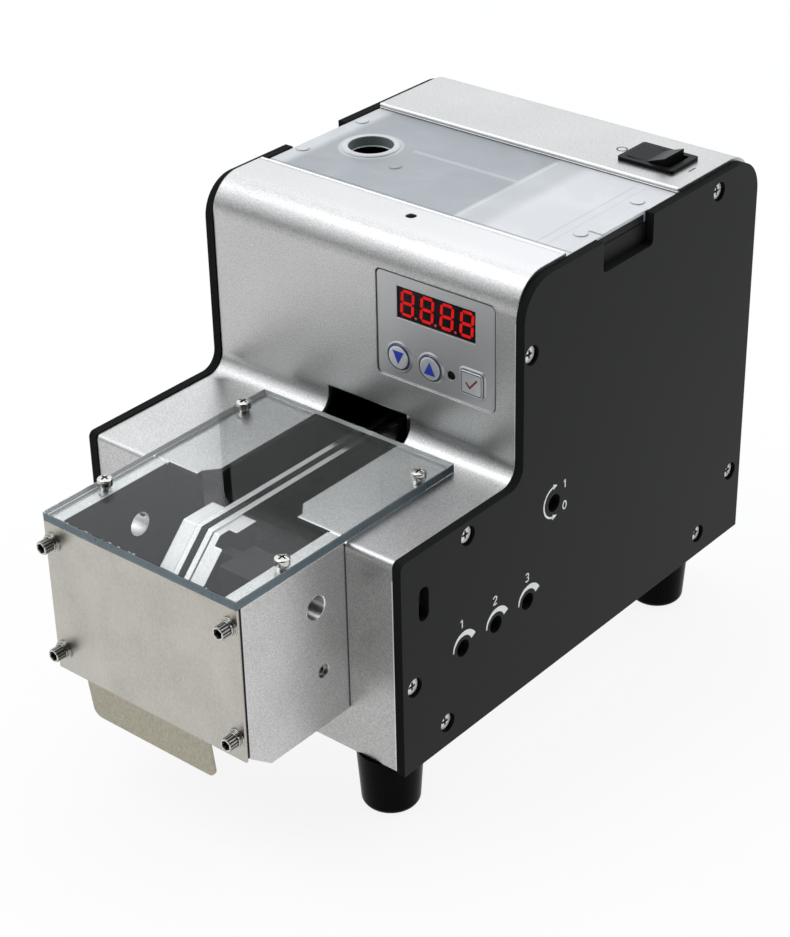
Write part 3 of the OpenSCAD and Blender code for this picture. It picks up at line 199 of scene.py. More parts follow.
def piece(name, parts, surface, body="housing", recess=None):
    """One object from (points, faces) parts, turned outwards, riding on a body; recess marks each point."""
    points, faces, start = [], [], 0
    for p, f in parts:
        points.append(to_row(p))
        faces += [[start + k for k in face] for face in f]
        start += len(p)
    mesh = bpy.data.meshes.new(name)
    mesh.from_pydata(np.concatenate(points).tolist(), [], faces)
    if recess is not None:
        mesh.attributes.new("recess", "FLOAT", "POINT").data.foreach_set("value", np.concatenate(recess))
    shell = bmesh.new()
    shell.from_mesh(mesh)
    bmesh.ops.remove_doubles(shell, verts=shell.verts, dist=1e-7)
    bmesh.ops.recalc_face_normals(shell, faces=shell.faces)
    shell.to_mesh(mesh)
    shell.free()
    mesh.shade_smooth()
    mesh.set_sharp_from_angle(angle=math.radians(40))
    mesh.materials.append(SURFACES[surface])
    made = bpy.data.objects.new(name, mesh)
    bpy.context.scene.collection.objects.link(made)
    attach(made, body)
    return made


# Finishes

class Board:
    """A node tree with short ways to add a node and feed its sockets; a surface's board has a shader too."""

    def __init__(self, tree):
        self.tree = tree

    def add(self, kind, feeds=None, **settings):
        node = self.tree.nodes.new("ShaderNode" + kind)
        for key, value in settings.items():
            setattr(node, key, value)
        for key, value in (feeds or {}).items():
            self.feed(node.inputs[key], value)
        return node

    def feed(self, socket, value):
        if isinstance(value, bpy.types.NodeSocket):
            self.tree.links.new(value, socket)
        else:
            socket.default_value = value

    def give(self, socket, value):
        """Feeds a socket of the surface's own shader."""
        self.feed(self.shader.inputs[socket], value)
        return self

    def cover(self, share, other):
        """Lays another shader over the surface's own by a share."""
        both = self.add("MixShader", {0: share, 1: self.shader.outputs[0], 2: other})
        self.feed(self.tree.nodes["Material Output"].inputs["Surface"], both.outputs[0])

    def maths(self, how, a, b=0.0, clamp=False):
        return self.add("Math", {0: a, 1: b}, operation=how, use_clamp=clamp).outputs[0]

    def times(self, a, b):
        return self.maths("MULTIPLY", a, b)

    def plus(self, a, b, clamp=False):
        return self.maths("ADD", a, b, clamp)

    def vector(self, how, a, b=(0.0, 0.0, 0.0)):
        """Sums on vectors, of which the dot product and the length give one value."""
        made = self.add("VectorMath", {0: a, 1: b}, operation=how).outputs
        return made["Value" if how in ("DOT_PRODUCT", "LENGTH") else "Vector"]

    def along(self, axis, vector):
        return self.add("SeparateXYZ", {0: vector}).outputs[axis]

    def own(self):
        """The object's own coordinates."""
        return self.add("TexCoord").outputs["Object"]

    def facing(self):
        return self.add("NewGeometry").outputs["True Normal"]

    def mark(self):
        """The mark that each point of the piece carries."""
        return self.add("Attribute", attribute_name="recess").outputs["Fac"]

    def span(self, value, low, high, to_low=0.0, to_high=1.0, smooth=False):
        """A value carried from one span to another, held at both ends."""
        kind = "SMOOTHSTEP" if smooth else "LINEAR"
        feeds = {"Value": value, "From Min": low, "From Max": high, "To Min": to_low, "To Max": to_high}
        return self.add("MapRange", feeds, interpolation_type=kind).outputs[0]

    def blend(self, factor, a, b, how="MIX"):
        node = self.add("Mix", {0: factor}, data_type="RGBA", blend_type=how, clamp_factor=True)
        for socket, value in ((node.inputs[6], a), (node.inputs[7], b)):
            self.feed(socket, value if isinstance(value, bpy.types.NodeSocket) else (*value, 1.0))
        return node.outputs[2]

    def noise(self, vector, scale, detail, rough=0.55, warp=0.0):
        feeds = {"Vector": vector, "Scale": scale, "Detail": detail, "Roughness": rough, "Distortion": warp}
        return self.add("TexNoise", feeds).outputs[0]

    def group(self, tree, **feeds):
        node = self.tree.nodes.new("ShaderNodeGroup")
        node.node_tree = tree
        for key, value in feeds.items():
            self.feed(node.inputs[key.replace("_", " ")], value)
        return node.outputs

    def in_box(self, low, high):
        """One inside a box between two corners in machine millimetres."""
        return self.group(HOLLOW, Low=row_point(low), High=row_point(high))["Mask"]


VALUE, DIRECTION = "NodeSocketFloat", "NodeSocketVector"


def new_group(name, inputs, outputs):
    """An empty shader group with named value inputs and named outputs."""
    tree = bpy.data.node_groups.new(name, "ShaderNodeTree")
    for key, value in inputs.items():
        kind = DIRECTION if isinstance(value, tuple) else VALUE
        socket = tree.interface.new_socket(key, in_out="INPUT", socket_type=kind)
        socket.default_value = value
    for key, kind in outputs.items():
        tree.interface.new_socket(key, in_out="OUTPUT", socket_type=kind)
    return Board(tree), tree.nodes.new("NodeGroupInput").outputs, tree.nodes.new("NodeGroupOutput").inputs


def grain_group():
    """Fine and broad noise on the object's own coordinates, stretched along any axis."""
    sizes = {"Fine size": 0.0004, "Broad size": 0.02, "Stretch": (1.0, 1.0, 1.0)}
    b, given, out = new_group("surface_grain", sizes, {"Fine": VALUE, "Broad": VALUE})
    drawn = b.vector("MULTIPLY", b.own(), given["Stretch"])
    b.feed(out["Fine"], b.noise(drawn, b.maths("DIVIDE", 1.0, given["Fine size"]), 2.0, 0.6))
    b.feed(out["Broad"], b.noise(drawn, b.maths("DIVIDE", 1.0, given["Broad size"]), 4.0, 0.55))
    return b.tree


def edge_group():
    """Rounds the shading at edges, and marks where the rounded normal leaves the flat one."""
    b, given, out = new_group("soft_edges", {"Radius": 0.0005}, {"Normal": DIRECTION, "Edge": VALUE})
    bent = b.add("Bevel", {"Radius": given["Radius"]}, samples=6).outputs[0]
    same = b.vector("DOT_PRODUCT", bent, b.add("NewGeometry").outputs["Normal"])
    b.feed(out["Normal"], bent)
    b.feed(out["Edge"], b.span(same, 0.995, 0.8))
    return b.tree


def smudge_group():
    """Soft patches where a noise rises above a level, broken up by a finer one."""
    b, given, out = new_group("smudges", {"Size": 0.012, "Level": 0.55, "Seed": 0.0}, {"Mask": VALUE})
    moved = b.vector("ADD", b.own(), given["Seed"])
    wide = b.noise(moved, b.maths("DIVIDE", 1.0, given["Size"]), 3.0, 0.6, 0.6)
    b.feed(out["Mask"], b.span(wide, given["Level"], b.plus(given["Level"], 0.22), smooth=True))
    return b.tree


def hollow_group():
    """One inside a box in own coordinates, else nought: the least distance to a side decides."""
    corners = {"Low": (0.0, 0.0, 0.0), "High": (1.0, 1.0, 1.0)}
    b, given, out = new_group("inside_hollow", corners, {"Mask": VALUE})
    at = b.own()
    above, below = b.vector("SUBTRACT", at, given["Low"]), b.vector("SUBTRACT", given["High"], at)
    least = b.add("SeparateXYZ", {0: b.vector("MINIMUM", above, below)}).outputs
    nearest = b.maths("MINIMUM", b.maths("MINIMUM", least["X"], least["Y"]), least["Z"])
    b.feed(out["Mask"], b.span(nearest, 0.0, 0.00002))
    return b.tree


GRAIN, EDGES, SMUDGES, HOLLOW = grain_group(), edge_group(), smudge_group(), hollow_group()


def new_surface(name):
    """The board of a new material, which also holds the material and its shader."""
    material = bpy.data.materials.new(name)
    material.use_nodes = True
    b = Board(material.node_tree)
    b.name, b.material, b.shader = name, material, b.tree.nodes["Principled BSDF"]
    return b


def finish(name, dark, light, rough, metal=0.0, fine=0.0004, broad=0.02, stretch=(1.0, 1.0, 1.0),
           share=0.5, spread=0.06, bump=0.2, depth=0.00003, edge=0.0004, wear_and_highlight=None, wear_and_highlight_share=0.5,
           coat=0.0, specular=0.5):
    """A surface coloured from dark to light by grain, a share of it fine, with soft edges turned towards an
    edge colour that is partly abrasion and partly a painted highlight.
    """
    b = new_surface(name)
    b.grain = b.group(GRAIN, Fine_size=fine, Broad_size=broad, Stretch=stretch)
    mixed = b.plus(b.times(b.grain["Fine"], share), b.times(b.grain["Broad"], 1 - share))
    colour = b.blend(b.span(mixed, 0.3, 0.7), dark, light)
    soft = b.group(EDGES, Radius=edge)
    # Edge colour: partly abrasion, partly painted highlight.
    edge_wear_and_highlight = b.times(soft["Edge"], b.span(b.grain["Broad"], 0.3, 0.6, 0.4, 1.0))
    b.colour = b.blend(b.times(edge_wear_and_highlight, wear_and_highlight_share), colour, wear_and_highlight or light)
    b.give("Base Color", b.colour)
    b.give("Roughness", b.span(mixed, 0.25, 0.75, rough - spread, rough + spread))
    b.give("Metallic", metal)
    b.give("Specular IOR Level", specular)
    b.give("Coat Weight", coat)
    b.give("Coat Roughness", 0.08)
    relief = {"Strength": bump, "Distance": depth, "Height": b.grain["Fine"], "Normal": soft["Normal"]}
    return b.give("Normal", b.add("Bump", relief).outputs[0])


MILLED = dict(metal=1.0, fine=0.0005, broad=0.012, stretch=(1.0, 0.05, 1.0), share=0.7, bump=0.12,
              wear_and_highlight=(0.9, 0.9, 0.89), wear_and_highlight_share=0.7)
PLATED = dict(fine=0.0005, broad=0.004, bump=0.05, depth=0.00002, edge=0.00018, wear_and_highlight=(0.95, 0.94, 0.92))
TRIMMER = dict(broad=0.005, bump=0.1, edge=0.0003)

# Finishes that are the common surface and no more, with sizes in metres.
PLAIN_FINISHES = dict(
    # Silver label sheet, finer grain than the cover
    label_silver=dict(
        dark=(0.46, 0.465, 0.47), light=(0.57, 0.575, 0.58), rough=0.4, metal=0.9, fine=0.0003, broad=0.03,
        share=0.75, edge=0.0003, wear_and_highlight=grey(0.85), wear_and_highlight_share=0.7),
    # Milled steel with fine cutter lines along the depth
    milled_steel=dict(dark=(0.58, 0.58, 0.575), light=(0.78, 0.78, 0.775), rough=0.3, **MILLED),
    # Bright ground steel with short lines along the depth
    ground_steel=dict(
        dark=(0.62, 0.62, 0.61), light=(0.8, 0.8, 0.79), rough=0.22, metal=1.0, fine=0.0003, broad=0.015,
        stretch=(1.0, 0.08, 1.0), share=0.6, bump=0.08, depth=0.00002, edge=0.0003,
        wear_and_highlight=(0.9, 0.9, 0.89)),
    # Bright nickel plate on the shanks of the sunk screws
    nickel_plate=dict(dark=(0.72, 0.715, 0.7), light=(0.9, 0.895, 0.88), rough=0.26, metal=1.0, **PLATED),
    # Darker polished nickel on the counting box's screws and washers
    smoked_nickel=dict(
        dark=(0.3, 0.295, 0.27), light=(0.46, 0.45, 0.42), rough=0.09, metal=1.0, fine=0.0006, broad=0.003,
        share=0.4, spread=0.03, bump=0.05, depth=0.00002, edge=0.00022, wear_and_highlight=(0.92, 0.91, 0.88),
        wear_and_highlight_share=1.0),
    # Black moulded rubber with a slight shine
    foot_rubber=dict(
        dark=grey(0.0015), light=grey(0.0035), rough=0.26, fine=0.0006, broad=0.01, spread=0.08,
        bump=0.15, depth=0.00004, edge=0.0008, wear_and_highlight=grey(0.006), specular=0.03),
    # Moulded black plastic with a faint spark-eroded texture
    moulded_black=dict(
        dark=(0.01, 0.01, 0.011), light=(0.02, 0.02, 0.021), rough=0.48, broad=0.012, share=0.6,
        wear_and_highlight=grey(0.03), specular=0.12),
    # Moulded grey plastic
    moulded_grey=dict(
        dark=(0.085, 0.092, 0.092), light=(0.12, 0.128, 0.128), rough=0.5, fine=0.0005, bump=0.15,
        edge=0.0006, wear_and_highlight=grey(0.55)),
    # Switch plastic, black with a soft gloss and fine scuffs
    switch_gloss=dict(
        dark=(0.006, 0.006, 0.0065), light=(0.01, 0.01, 0.0105), rough=0.3, fine=0.0007, broad=0.006,
        share=0.4, spread=0.07, bump=0.06, edge=0.0003, wear_and_highlight=grey(0.02), specular=0.05),
    # Dark display face with a faint smoky bloom
    display_glass=dict(
        dark=(0.003, 0.003, 0.004), light=(0.008, 0.008, 0.01), rough=0.22, fine=0.0009, broad=0.01,
        share=0.3, bump=0.03, depth=0.00002, edge=0.0002, wear_and_highlight=grey(0.02), specular=0.12),
    # Bright silver button caps with turned rings too fine to count
    button_metal=dict(
        dark=(0.66, 0.665, 0.67), light=(0.8, 0.805, 0.81), rough=0.34, metal=0.85, fine=0.0003, broad=0.008,
        share=0.6, bump=0.15, depth=0.00002, wear_and_highlight=grey(0.9), wear_and_highlight_share=0.6),
    # Circuit board with a glassy green mask and weave
    board_green=dict(
        dark=(0.01, 0.06, 0.025), light=(0.02, 0.105, 0.045), rough=0.32, fine=0.0008, broad=0.01,
        share=0.6, bump=0.1, edge=0.0003, wear_and_highlight=(0.35, 0.33, 0.2), coat=0.2),
    # Blue moulded trimmer body
    trimmer_blue=dict(dark=(0.015, 0.06, 0.3), light=(0.025, 0.09, 0.4), rough=0.38, **TRIMMER),
    # White trimmer rotor
    trimmer_white=dict(dark=(0.62, 0.62, 0.6), light=(0.76, 0.76, 0.74), rough=0.42, **TRIMMER),
    # Lacquered copper turns: bands across the coil's height
    copper_winding=dict(
        dark=(0.42, 0.16, 0.06), light=(0.66, 0.3, 0.13), rough=0.32, metal=0.9, fine=0.0006, broad=0.006,
        stretch=(0.15, 0.15, 1.0), share=0.7, bump=0.5, depth=0.00015, edge=0.0003),
    # Dark brush fibre, streaked across the roller
    brush_hair=dict(
        dark=(0.012, 0.011, 0.01), light=(0.06, 0.055, 0.05), rough=0.75, fine=0.0003, broad=0.004,
        stretch=(0.12, 1.0, 1.0), share=0.8, bump=0.8, depth=0.0003, edge=0.0003),
    # Black sealing strip with open pores
    seal_foam=dict(
        dark=grey(0.006), light=grey(0.018), rough=0.8, fine=0.0006, broad=0.006, share=0.8, bump=0.6,
        depth=0.00012),
    # White flakes along the window's arrises
    chip_white=dict(
        dark=(0.78, 0.82, 0.83), light=(0.95, 0.96, 0.96), rough=0.45, fine=0.0003, broad=0.002,
        edge=0.00005),
    # Painted highlight: bright metal colour on the covers' hems and edges
    hem_highlight=dict(dark=grey(0.8), light=grey(0.92), rough=0.35, metal=0.6, edge=0.0001),
)
INKS = dict(white_ink=(0.93, 0.94, 0.94), black_ink=(0.02, 0.02, 0.022), blue_ink=(0.003, 0.03, 0.42),
            navy_ink=(0.006, 0.03, 0.13), red_ink=(0.17, 0.008, 0.008))


def print_ink(name, colour):
    """Printed ink, slightly uneven in cover."""
    pale = tuple(min(1.0, c * 1.25 + 0.01) for c in colour)
    return finish(name, colour, pale, rough=0.5, fine=0.0002, broad=0.003, bump=0.1, depth=0.00001,
                  edge=0.00005)


def painted_hollow_shade(b, colour, shade=(0.01, 0.0115, 0.012), floor=BOX_HOLLOW[0][2]):
    """Painted shade: faces inside the counting box are painted near black, as the shade that falls inside it.
    """
    inside = b.in_box((*BOX_HOLLOW[0][:2], floor), BOX_HOLLOW[1])
    return b.give("Base Color", b.blend(inside, colour, shade))


def blasted_silver():
    """Sand-blasted aluminium: fine bright and dark specks, satin, edges a little brighter, the front cover
    with a painted highlight on top and painted shade low down at its right."""
    b = finish("blasted_silver", (0.37, 0.37, 0.365), (0.67, 0.67, 0.665), rough=0.36, metal=1.0,
               fine=0.00042, broad=0.03, share=0.85, bump=0.4, depth=0.00005, edge=0.0005,
               wear_and_highlight=(0.78, 0.78, 0.77), wear_and_highlight_share=0.35)
    at = b.add("SeparateXYZ", {0: b.own()}).outputs

    def within(axis, limits, *to):
        """A smooth step along an axis between two limits in machine millimetres."""
        shift = MID_Y if axis == "Y" else 0.0
        return b.span(at[axis], *((limit - shift) / 1000 for limit in limits), *to, smooth=True)

    # Painted shade on the front cover's low face at its right, lighter towards the bottom.
    low = b.times(within("Y", PAINTED_LOW_SHADE["y"]), within("Z", PAINTED_LOW_SHADE["z"]))
    low_painted_shade = b.times(within("X", PAINTED_LOW_SHADE["x"]), within("Z", PAINTED_LOW_SHADE["fade"], *PAINTED_LOW_SHADE["share"]))
    colour = b.blend(b.times(low, low_painted_shade), b.colour, grey(PAINTED_LOW_SHADE["shade"]), "MULTIPLY")
    # Painted highlight on the front cover's top, stronger to the right.
    upper = b.times(within("Y", PAINTED_TOP_HIGHLIGHT["y"]), within("Z", PAINTED_TOP_HIGHLIGHT["z"]))
    top_painted_highlight = b.times(upper, within("X", PAINTED_TOP_HIGHLIGHT["x"], *PAINTED_TOP_HIGHLIGHT["share"]))
    return painted_hollow_shade(b, b.blend(top_painted_highlight, colour, grey(PAINTED_TOP_HIGHLIGHT["shade"])))


def milled_wall():
    """Milled aluminium plate, fine blasted, a little cooler and more even than the covers; painted shade
    inside the box.
    """
    b = finish("milled_wall", (0.42, 0.42, 0.415), (0.78, 0.78, 0.775), rough=0.4, metal=1.0,
               share=0.85, bump=0.35, depth=0.00004, wear_and_highlight=(0.85, 0.85, 0.84), wear_and_highlight_share=0.7)
    return painted_hollow_shade(b, b.colour)


def satin_black():
    """Satin black coat on the side panels, matt on their cut edges, with sparse pale dust."""
    b = finish("satin_black", (0.0075, 0.0082, 0.0077), (0.0115, 0.0124, 0.0117), rough=0.42, fine=0.0005,
               broad=0.04, share=0.6, spread=0.05, bump=0.25, depth=0.00004, edge=0.0003,
               wear_and_highlight=(0.018, 0.018, 0.017), wear_and_highlight_share=0.6, specular=0.1)
    dust = b.times(b.group(SMUDGES, Size=0.0016, Level=0.74)["Mask"], 0.1)
    b.give("Base Color", b.blend(dust, b.colour, (0.35, 0.35, 0.34)))
    cut = b.span(b.maths("ABSOLUTE", b.along("X", b.facing())), 0.85, 0.6, 0.0, 0.95)
    satin = b.shader.inputs["Roughness"].links[0].from_socket
    return b.give("Roughness", b.maths("MAXIMUM", satin, cut))


def plain_stainless(name, tongue):
    """Stainless sheet, warm grey and mottled, with faint rubbed patches; painted shade, darker and warmer, on
    a tongue.
    """
    b = finish(name, (0.41, 0.395, 0.35), (0.56, 0.545, 0.495), rough=0.36, metal=1.0, fine=0.0008,
               broad=0.01, stretch=(1.0, 1.0, 0.7), share=0.55, spread=0.07, bump=0.1,
               edge=0.0003, wear_and_highlight=(0.8, 0.78, 0.74), wear_and_highlight_share=0.6)
    haze = b.times(b.group(SMUDGES, Size=0.02, Level=0.48, Seed=3.0)["Mask"], 0.3)
    colour = b.blend(haze, b.colour, (0.58, 0.57, 0.53))
    if tongue:
        # Painted shade on the tongue, darker and warmer than the plate.
        bent = b.blend(b.span(b.grain["Fine"], 0.3, 0.7), (0.295, 0.272, 0.208), (0.41, 0.383, 0.308))
        below = b.span(b.along("Z", b.own()), TONGUE_TOP / 1000, TONGUE_TOP / 1000 - 0.0008)
        colour = b.blend(below, colour, bent)
    # Painted shade on the faces inside the counting box, from just above the tongue.
    return painted_hollow_shade(b, colour, (0.03, 0.03, 0.028), TONGUE_TOP + 0.5)


def ramp_steel():
    """Milled steel, bright on its run, with painted shade near black on its upright sides."""
    b = finish("ramp_steel", (0.6, 0.6, 0.59), (0.8, 0.8, 0.79), rough=0.34, **MILLED)
    # Painted shade on the upright sides, by which way each face looks.
    upward = b.span(b.along("Z", b.facing()), 0.15, 0.35)
    return b.give("Base Color", b.blend(upward, (0.02, 0.022, 0.022), b.colour))


def plated_head(name, dark, light, rough, metal):
    """Plated screw head, bright on its crown, with painted shade near black in its recess and on a knurled
    side, which each point's own mark shows.
    """
    b = finish(name, dark, light, rough, metal, spread=0.04, **PLATED)
    head_painted_shade = b.mark()
    b.give("Base Color", b.blend(head_painted_shade, b.colour, grey(0.004)))
    return b.give("Roughness", b.span(head_painted_shade, 0.0, 1.0, rough, 0.8))


def bored_metal():
    """Drilled bore, bright along its bottom, with painted shade above, which each point marks."""
    b = finish("bored_metal", (0.9, 0.9, 0.89), (0.99, 0.99, 0.98), rough=0.3, metal=1.0, broad=0.004,
               share=0.7, bump=0.15, edge=0.0001, wear_and_highlight=(0.95, 0.95, 0.94))
    return b.give("Base Color", b.blend(b.mark(), b.colour, grey(0.24)))


def clear_sheet():
    """Clear acrylic: a faint tint, a few greasy smudges on the faces, and lamps pass through it."""
    b = new_surface("clear_sheet")
    film = b.group(SMUDGES, Size=0.016, Level=0.5, Seed=1.0)["Mask"]
    b.give("Base Color", b.blend(film, (0.975, 0.985, 0.985), (0.955, 0.97, 0.97)))
    b.give("Roughness", b.span(film, 0.0, 1.0, 0.012, 0.07))
    b.give("Transmission Weight", 1.0)
    b.give("IOR", 1.23)
    through = b.add("BsdfTransparent", {"Color": (0.9, 0.93, 0.93, 1.0)}).outputs[0]
    b.cover(b.add("LightPath").outputs["Is Shadow Ray"], through)
    return b


def sawn_edge():
    """The window's sawn sides: slate blue, with painted light on the inner faces seen through the sheet, saw
    marks upright.
    """
    b = finish("sawn_edge", (0.085, 0.128, 0.15), (0.125, 0.172, 0.195), rough=0.3, fine=0.0005,
               broad=0.006, stretch=(1.0, 1.0, 0.3), share=0.6, depth=0.00004, edge=0.0003,
               wear_and_highlight=(0.75, 0.8, 0.82), wear_and_highlight_share=0.9, specular=0.4)
    # Painted light on the marked inner faces.
    return b.give("Base Color", b.blend(b.mark(), b.colour, (0.72, 0.76, 0.76)))


def milky_lid():
    """Milky plastic lid: thinner and greyer to the left, more opaque and whiter past the long rib as painted
    light, clouded.
    """
    b = finish("milky_lid", (0.405, 0.445, 0.475), (0.485, 0.525, 0.555), rough=0.42, fine=0.0006,
               share=0.35, spread=0.08, bump=0.08, depth=0.00004, edge=0.0006, wear_and_highlight=grey(0.95),
               wear_and_highlight_share=0.8)
    across = b.along("X", b.own())
    wavy = b.plus(across, b.times(b.grain["Broad"], 0.004))
    # A zone of painted light: more opaque and whiter past the long rib and at the left end.
    painted_light_zone = b.plus(b.span(wavy, 0.016, 0.019, 0.6, 0.77, True), b.span(wavy, 0.025, 0.031, 0.0, 0.13, True))
    painted_light_zone = b.plus(painted_light_zone, b.span(across, -0.05, -0.0545, 0.0, 0.24, True))
    cloud = b.times(b.group(SMUDGES, Size=0.02, Level=0.45, Seed=5.0)["Mask"], 0.05)
    level = b.maths("ABSOLUTE", b.along("Z", b.add("TexCoord").outputs["Normal"]))
    upright = b.span(level, 0.9, 0.5, 0.0, 0.35)
    rib, line = (b.maths("MAXIMUM", *(b.in_box(*box) for box in boxes)) for boxes in (LID_RIBS, LID_SHADE_LINES))
    centre = b.vector("SUBTRACT", b.own(), row_point((*LID_HOLE, 0.0)))
    far = b.vector("LENGTH", b.vector("MULTIPLY", centre, (1.0, 1.0, 0.0)))
    collar = b.times(b.span(far, 0.0071, 0.0073), b.span(far, 0.0112, 0.0093, smooth=True))
    thick = b.plus(b.times(rib, 0.1), b.times(collar, 0.22))
    seen = b.plus(b.plus(painted_light_zone, upright), cloud, clamp=True)
    b.give("Alpha", b.plus(seen, thick, clamp=True))
    colour = b.blend(b.span(painted_light_zone, 0.5, 0.9), b.colour, (0.68, 0.695, 0.71))
    # Ribs and the hole's ring paler: partly their thicker plastic, partly painted light.
    pale = b.maths("MAXIMUM", b.times(rib, 0.2), b.times(collar, 0.55))
    colour = b.blend(pale, colour, (0.8, 0.81, 0.82))
    # Painted shade: darker lines over the hopper walls beneath.
    colour = b.blend(b.times(line, 0.5), colour, (0.5, 0.52, 0.54))
    hole_wall = b.span(far, 0.0074, 0.00734)
    return b.give("Base Color", b.blend(hole_wall, colour, (0.2, 0.25, 0.25)))


LIT = dict(rough=0.4, fine=0.0003, broad=0.002, edge=0.0001)


def lit_segments():
    """Red light behind a diffusing face, brighter in the middle of the grain."""
    b = finish("lit_segments", (0.1, 0.002, 0.002), (0.14, 0.003, 0.003), specular=0.1, **LIT)
    bright = b.span(b.grain["Broad"], 0.35, 0.65)
    b.give("Emission Color", b.blend(bright, (0.66, 0.004, 0.004), (0.8, 0.01, 0.008)))
    return b.give("Emission Strength", 0.8)


def lit_points():
    """The points beside the digits, dimmer than the segments."""
    b = finish("lit_points", (0.3, 0.02, 0.018), (0.4, 0.03, 0.025), **LIT)
    b.give("Emission Color", b.blend(b.grain["Fine"], (0.2, 0.01, 0.01), (0.3, 0.02, 0.018)))
    return b.give("Emission Strength", 0.7)


BOARDS = [finish(name, **given) for name, given in PLAIN_FINISHES.items()]
BOARDS += [print_ink(name, colour) for name, colour in INKS.items()]
BOARDS += [
    blasted_silver(), milled_wall(), satin_black(), ramp_steel(), bored_metal(), clear_sheet(), sawn_edge(),
    milky_lid(), lit_segments(), lit_points(),
    plain_stainless("plain_stainless", False), plain_stainless("front_stainless", True),
    # Panel screw heads: a whiter, less metallic copy of the nickel plate, painted light that makes them read
    # bright.
    plated_head("nickel_painted_bright", (0.93, 0.925, 0.915), (0.99, 0.985, 0.975), 0.38, 0.35),
    plated_head("polished_nickel", (0.5, 0.49, 0.46), (0.68, 0.67, 0.64), 0.08, 1.0)]
SURFACES = {b.name: b.material for b in BOARDS}
NODE_FINISHES = dict(
    blasted_silver=("base_plate", "front_cover", "rear_cover"),
    milled_wall=("box_wall_left", "box_wall_right"),
    label_silver=("display_overlay",),
    satin_black=("side_panel_left", "side_panel_right"),
    nickel_plate=("panel_screws", "foot_screws"),
    smoked_nickel=("box_wall_screws", "front_plate_screws", "front_plate_washers", "top_window_screws"),
    foot_rubber=("foot_front_left", "foot_front_right", "foot_rear_left", "foot_rear_right", "rail_mounts"),
    moulded_black=("hopper_rim", "tact_switches", "dc_jack", "channel_liner", "count_sensor"),
    ground_steel=("hopper_bin", "lifter", "feed_rails"),
    moulded_grey=("drive_cover",),
    milled_steel=("lifter_guides", "rail_posts", "lift_motor", "roller_motor", "lock_gate", "crank_disc",
                  "rail_carrier"),
    ramp_steel=("track_block_left", "track_block_right"),
    copper_winding=("vibrator_coil",),
    plain_stainless=("motor_bracket", "roller_bracket", "gate_bracket", "discharge_chute"),
    front_stainless=("front_plate",),
    board_green=("control_board", "display_board"),
    trimmer_blue=("trim_pot_bodies",),
    display_glass=("led_display", "status_led"),
    switch_gloss=("switch_housing", "power_rocker"),
    seal_foam=("front_gasket",),
    clear_sheet=("top_window",),
    milky_lid=("lid",),
    button_metal=("button_down", "button_up", "button_set"),
    trimmer_white=("trim_rotor_1", "trim_rotor_2", "trim_rotor_3"),
    brush_hair=("brush_roller",),
)
for surface, names in NODE_FINISHES.items():
    for name in names:
        slots = NODES[name].data.materials
        slots.clear()
        slots.append(SURFACES[surface])


# The lit display

def digit_place(k, aside=0.0, below=0.0):
    """The face at the middle of the display's digit k, or at a spot beside and below it."""
    x = WINDOW["x"] + DIGIT["first"] + DIGIT["pitch"] * k + aside
    return front_place(x, WINDOW["z"] + WINDOW["high"] / 2 - below, WINDOW["face"])


def digit_segments():
    """Four leaning eights: each bar is a band that narrows to its ends; for the lean u gains a share of v."""
    half_w, half_h, gap = DIGIT["wide"] / 2, DIGIT["high"] / 2, DIGIT["gap"]
    level = [[(-half_w, v), (half_w, v)] for v in (half_h, 0, -half_h)]
    upright = [[(u, v), (u, v + half_h)] for v in (0, -half_h) for u in (-half_w, half_w)]
    taper, half = np.array([0.0, 0.18, 0.45]), DIGIT["thick"] / 2 * np.array([0.25, 0.72, 1, 1, 0.72, 0.25])
    parts = []
    for k in range(4):
        for a, c in np.array(level + upright, float):
            run = np.linalg.norm(c - a)
            t = np.concatenate([gap + taper, run - gap - taper[::-1]]) / run
            line = a + t[:, None] * (c - a)
            line[:, 0] += DIGIT["lean"] * line[:, 1]
            parts.append(stroke(line, half, digit_place(k), DIGIT["lift"]))
    return parts


def point_dots():
    """A small disc right of the first three digits' feet: a short band widened to a circle."""
    a = np.linspace(0.05, math.pi - 0.05, 14)
    line, half = np.stack([-POINT["r"] * np.cos(a), 0 * a], -1), POINT["r"] * np.sin(a)
    places = [digit_place(k, POINT["aside"], POINT["below"]) for k in range(3)]
    return [stroke(line, half, place, POINT["lift"]) for place in places]


piece("display_digits", digit_segments(), "lit_segments")
piece("display_points", point_dots(), "lit_points")


# Buttons and their collars

def button_ring():
    """A thin printed ring on the cap's bevelled edge: the profile follows the bevel, a hair above it."""
    slope = np.array([[3.66, -0.15], [4.08, -0.39]])
    return np.concatenate([slope + (0, 0.03), slope[::-1] - (0, 0.05)])


def arrow_head(up):
    """A triangle: a band along the height whose width grows from nothing to the base."""
    v = np.array([2.15, -2.05]) * (1 if up else -1)
    return np.stack([0 * v, v], -1), np.array([0.02, 2.15])


for name in ("button_down", "button_up"):
    place = front_place(BUTTONS[name], BUTTON_Z, BUTTON_FRONT)
    piece(name + "_ring", [lathe(button_ring(), place)], "navy_ink", body=name)
    line, half = arrow_head(name == "button_up")
    piece(name + "_arrow", [stroke(line, half, place, 0.04)], "blue_ink", body=name)

COLLAR = [(4.36, -0.1), (4.36, 0.28), (4.46, 0.35), (4.62, 0.29), (4.85, 0.13), (5.05, 0.02), (5.05, -0.1)]
SET_SECTION = [(0.28, -0.1), (0.28, 0.26), (0.4, 0.33), (0.56, 0.27), (0.78, 0.12), (0.95, 0.02),
               (0.95, -0.1)]
down_at, up_at, set_at = (front_place(x, BUTTON_Z, LABEL["face"]) for x in BUTTONS.values())
set_collar = frame_bead(round_frame(8.0, 7.4, 0.8), SET_SECTION, set_at)
collars = [lathe(COLLAR, down_at), lathe(COLLAR, up_at), set_collar]
piece("button_collars", collars, "label_silver")

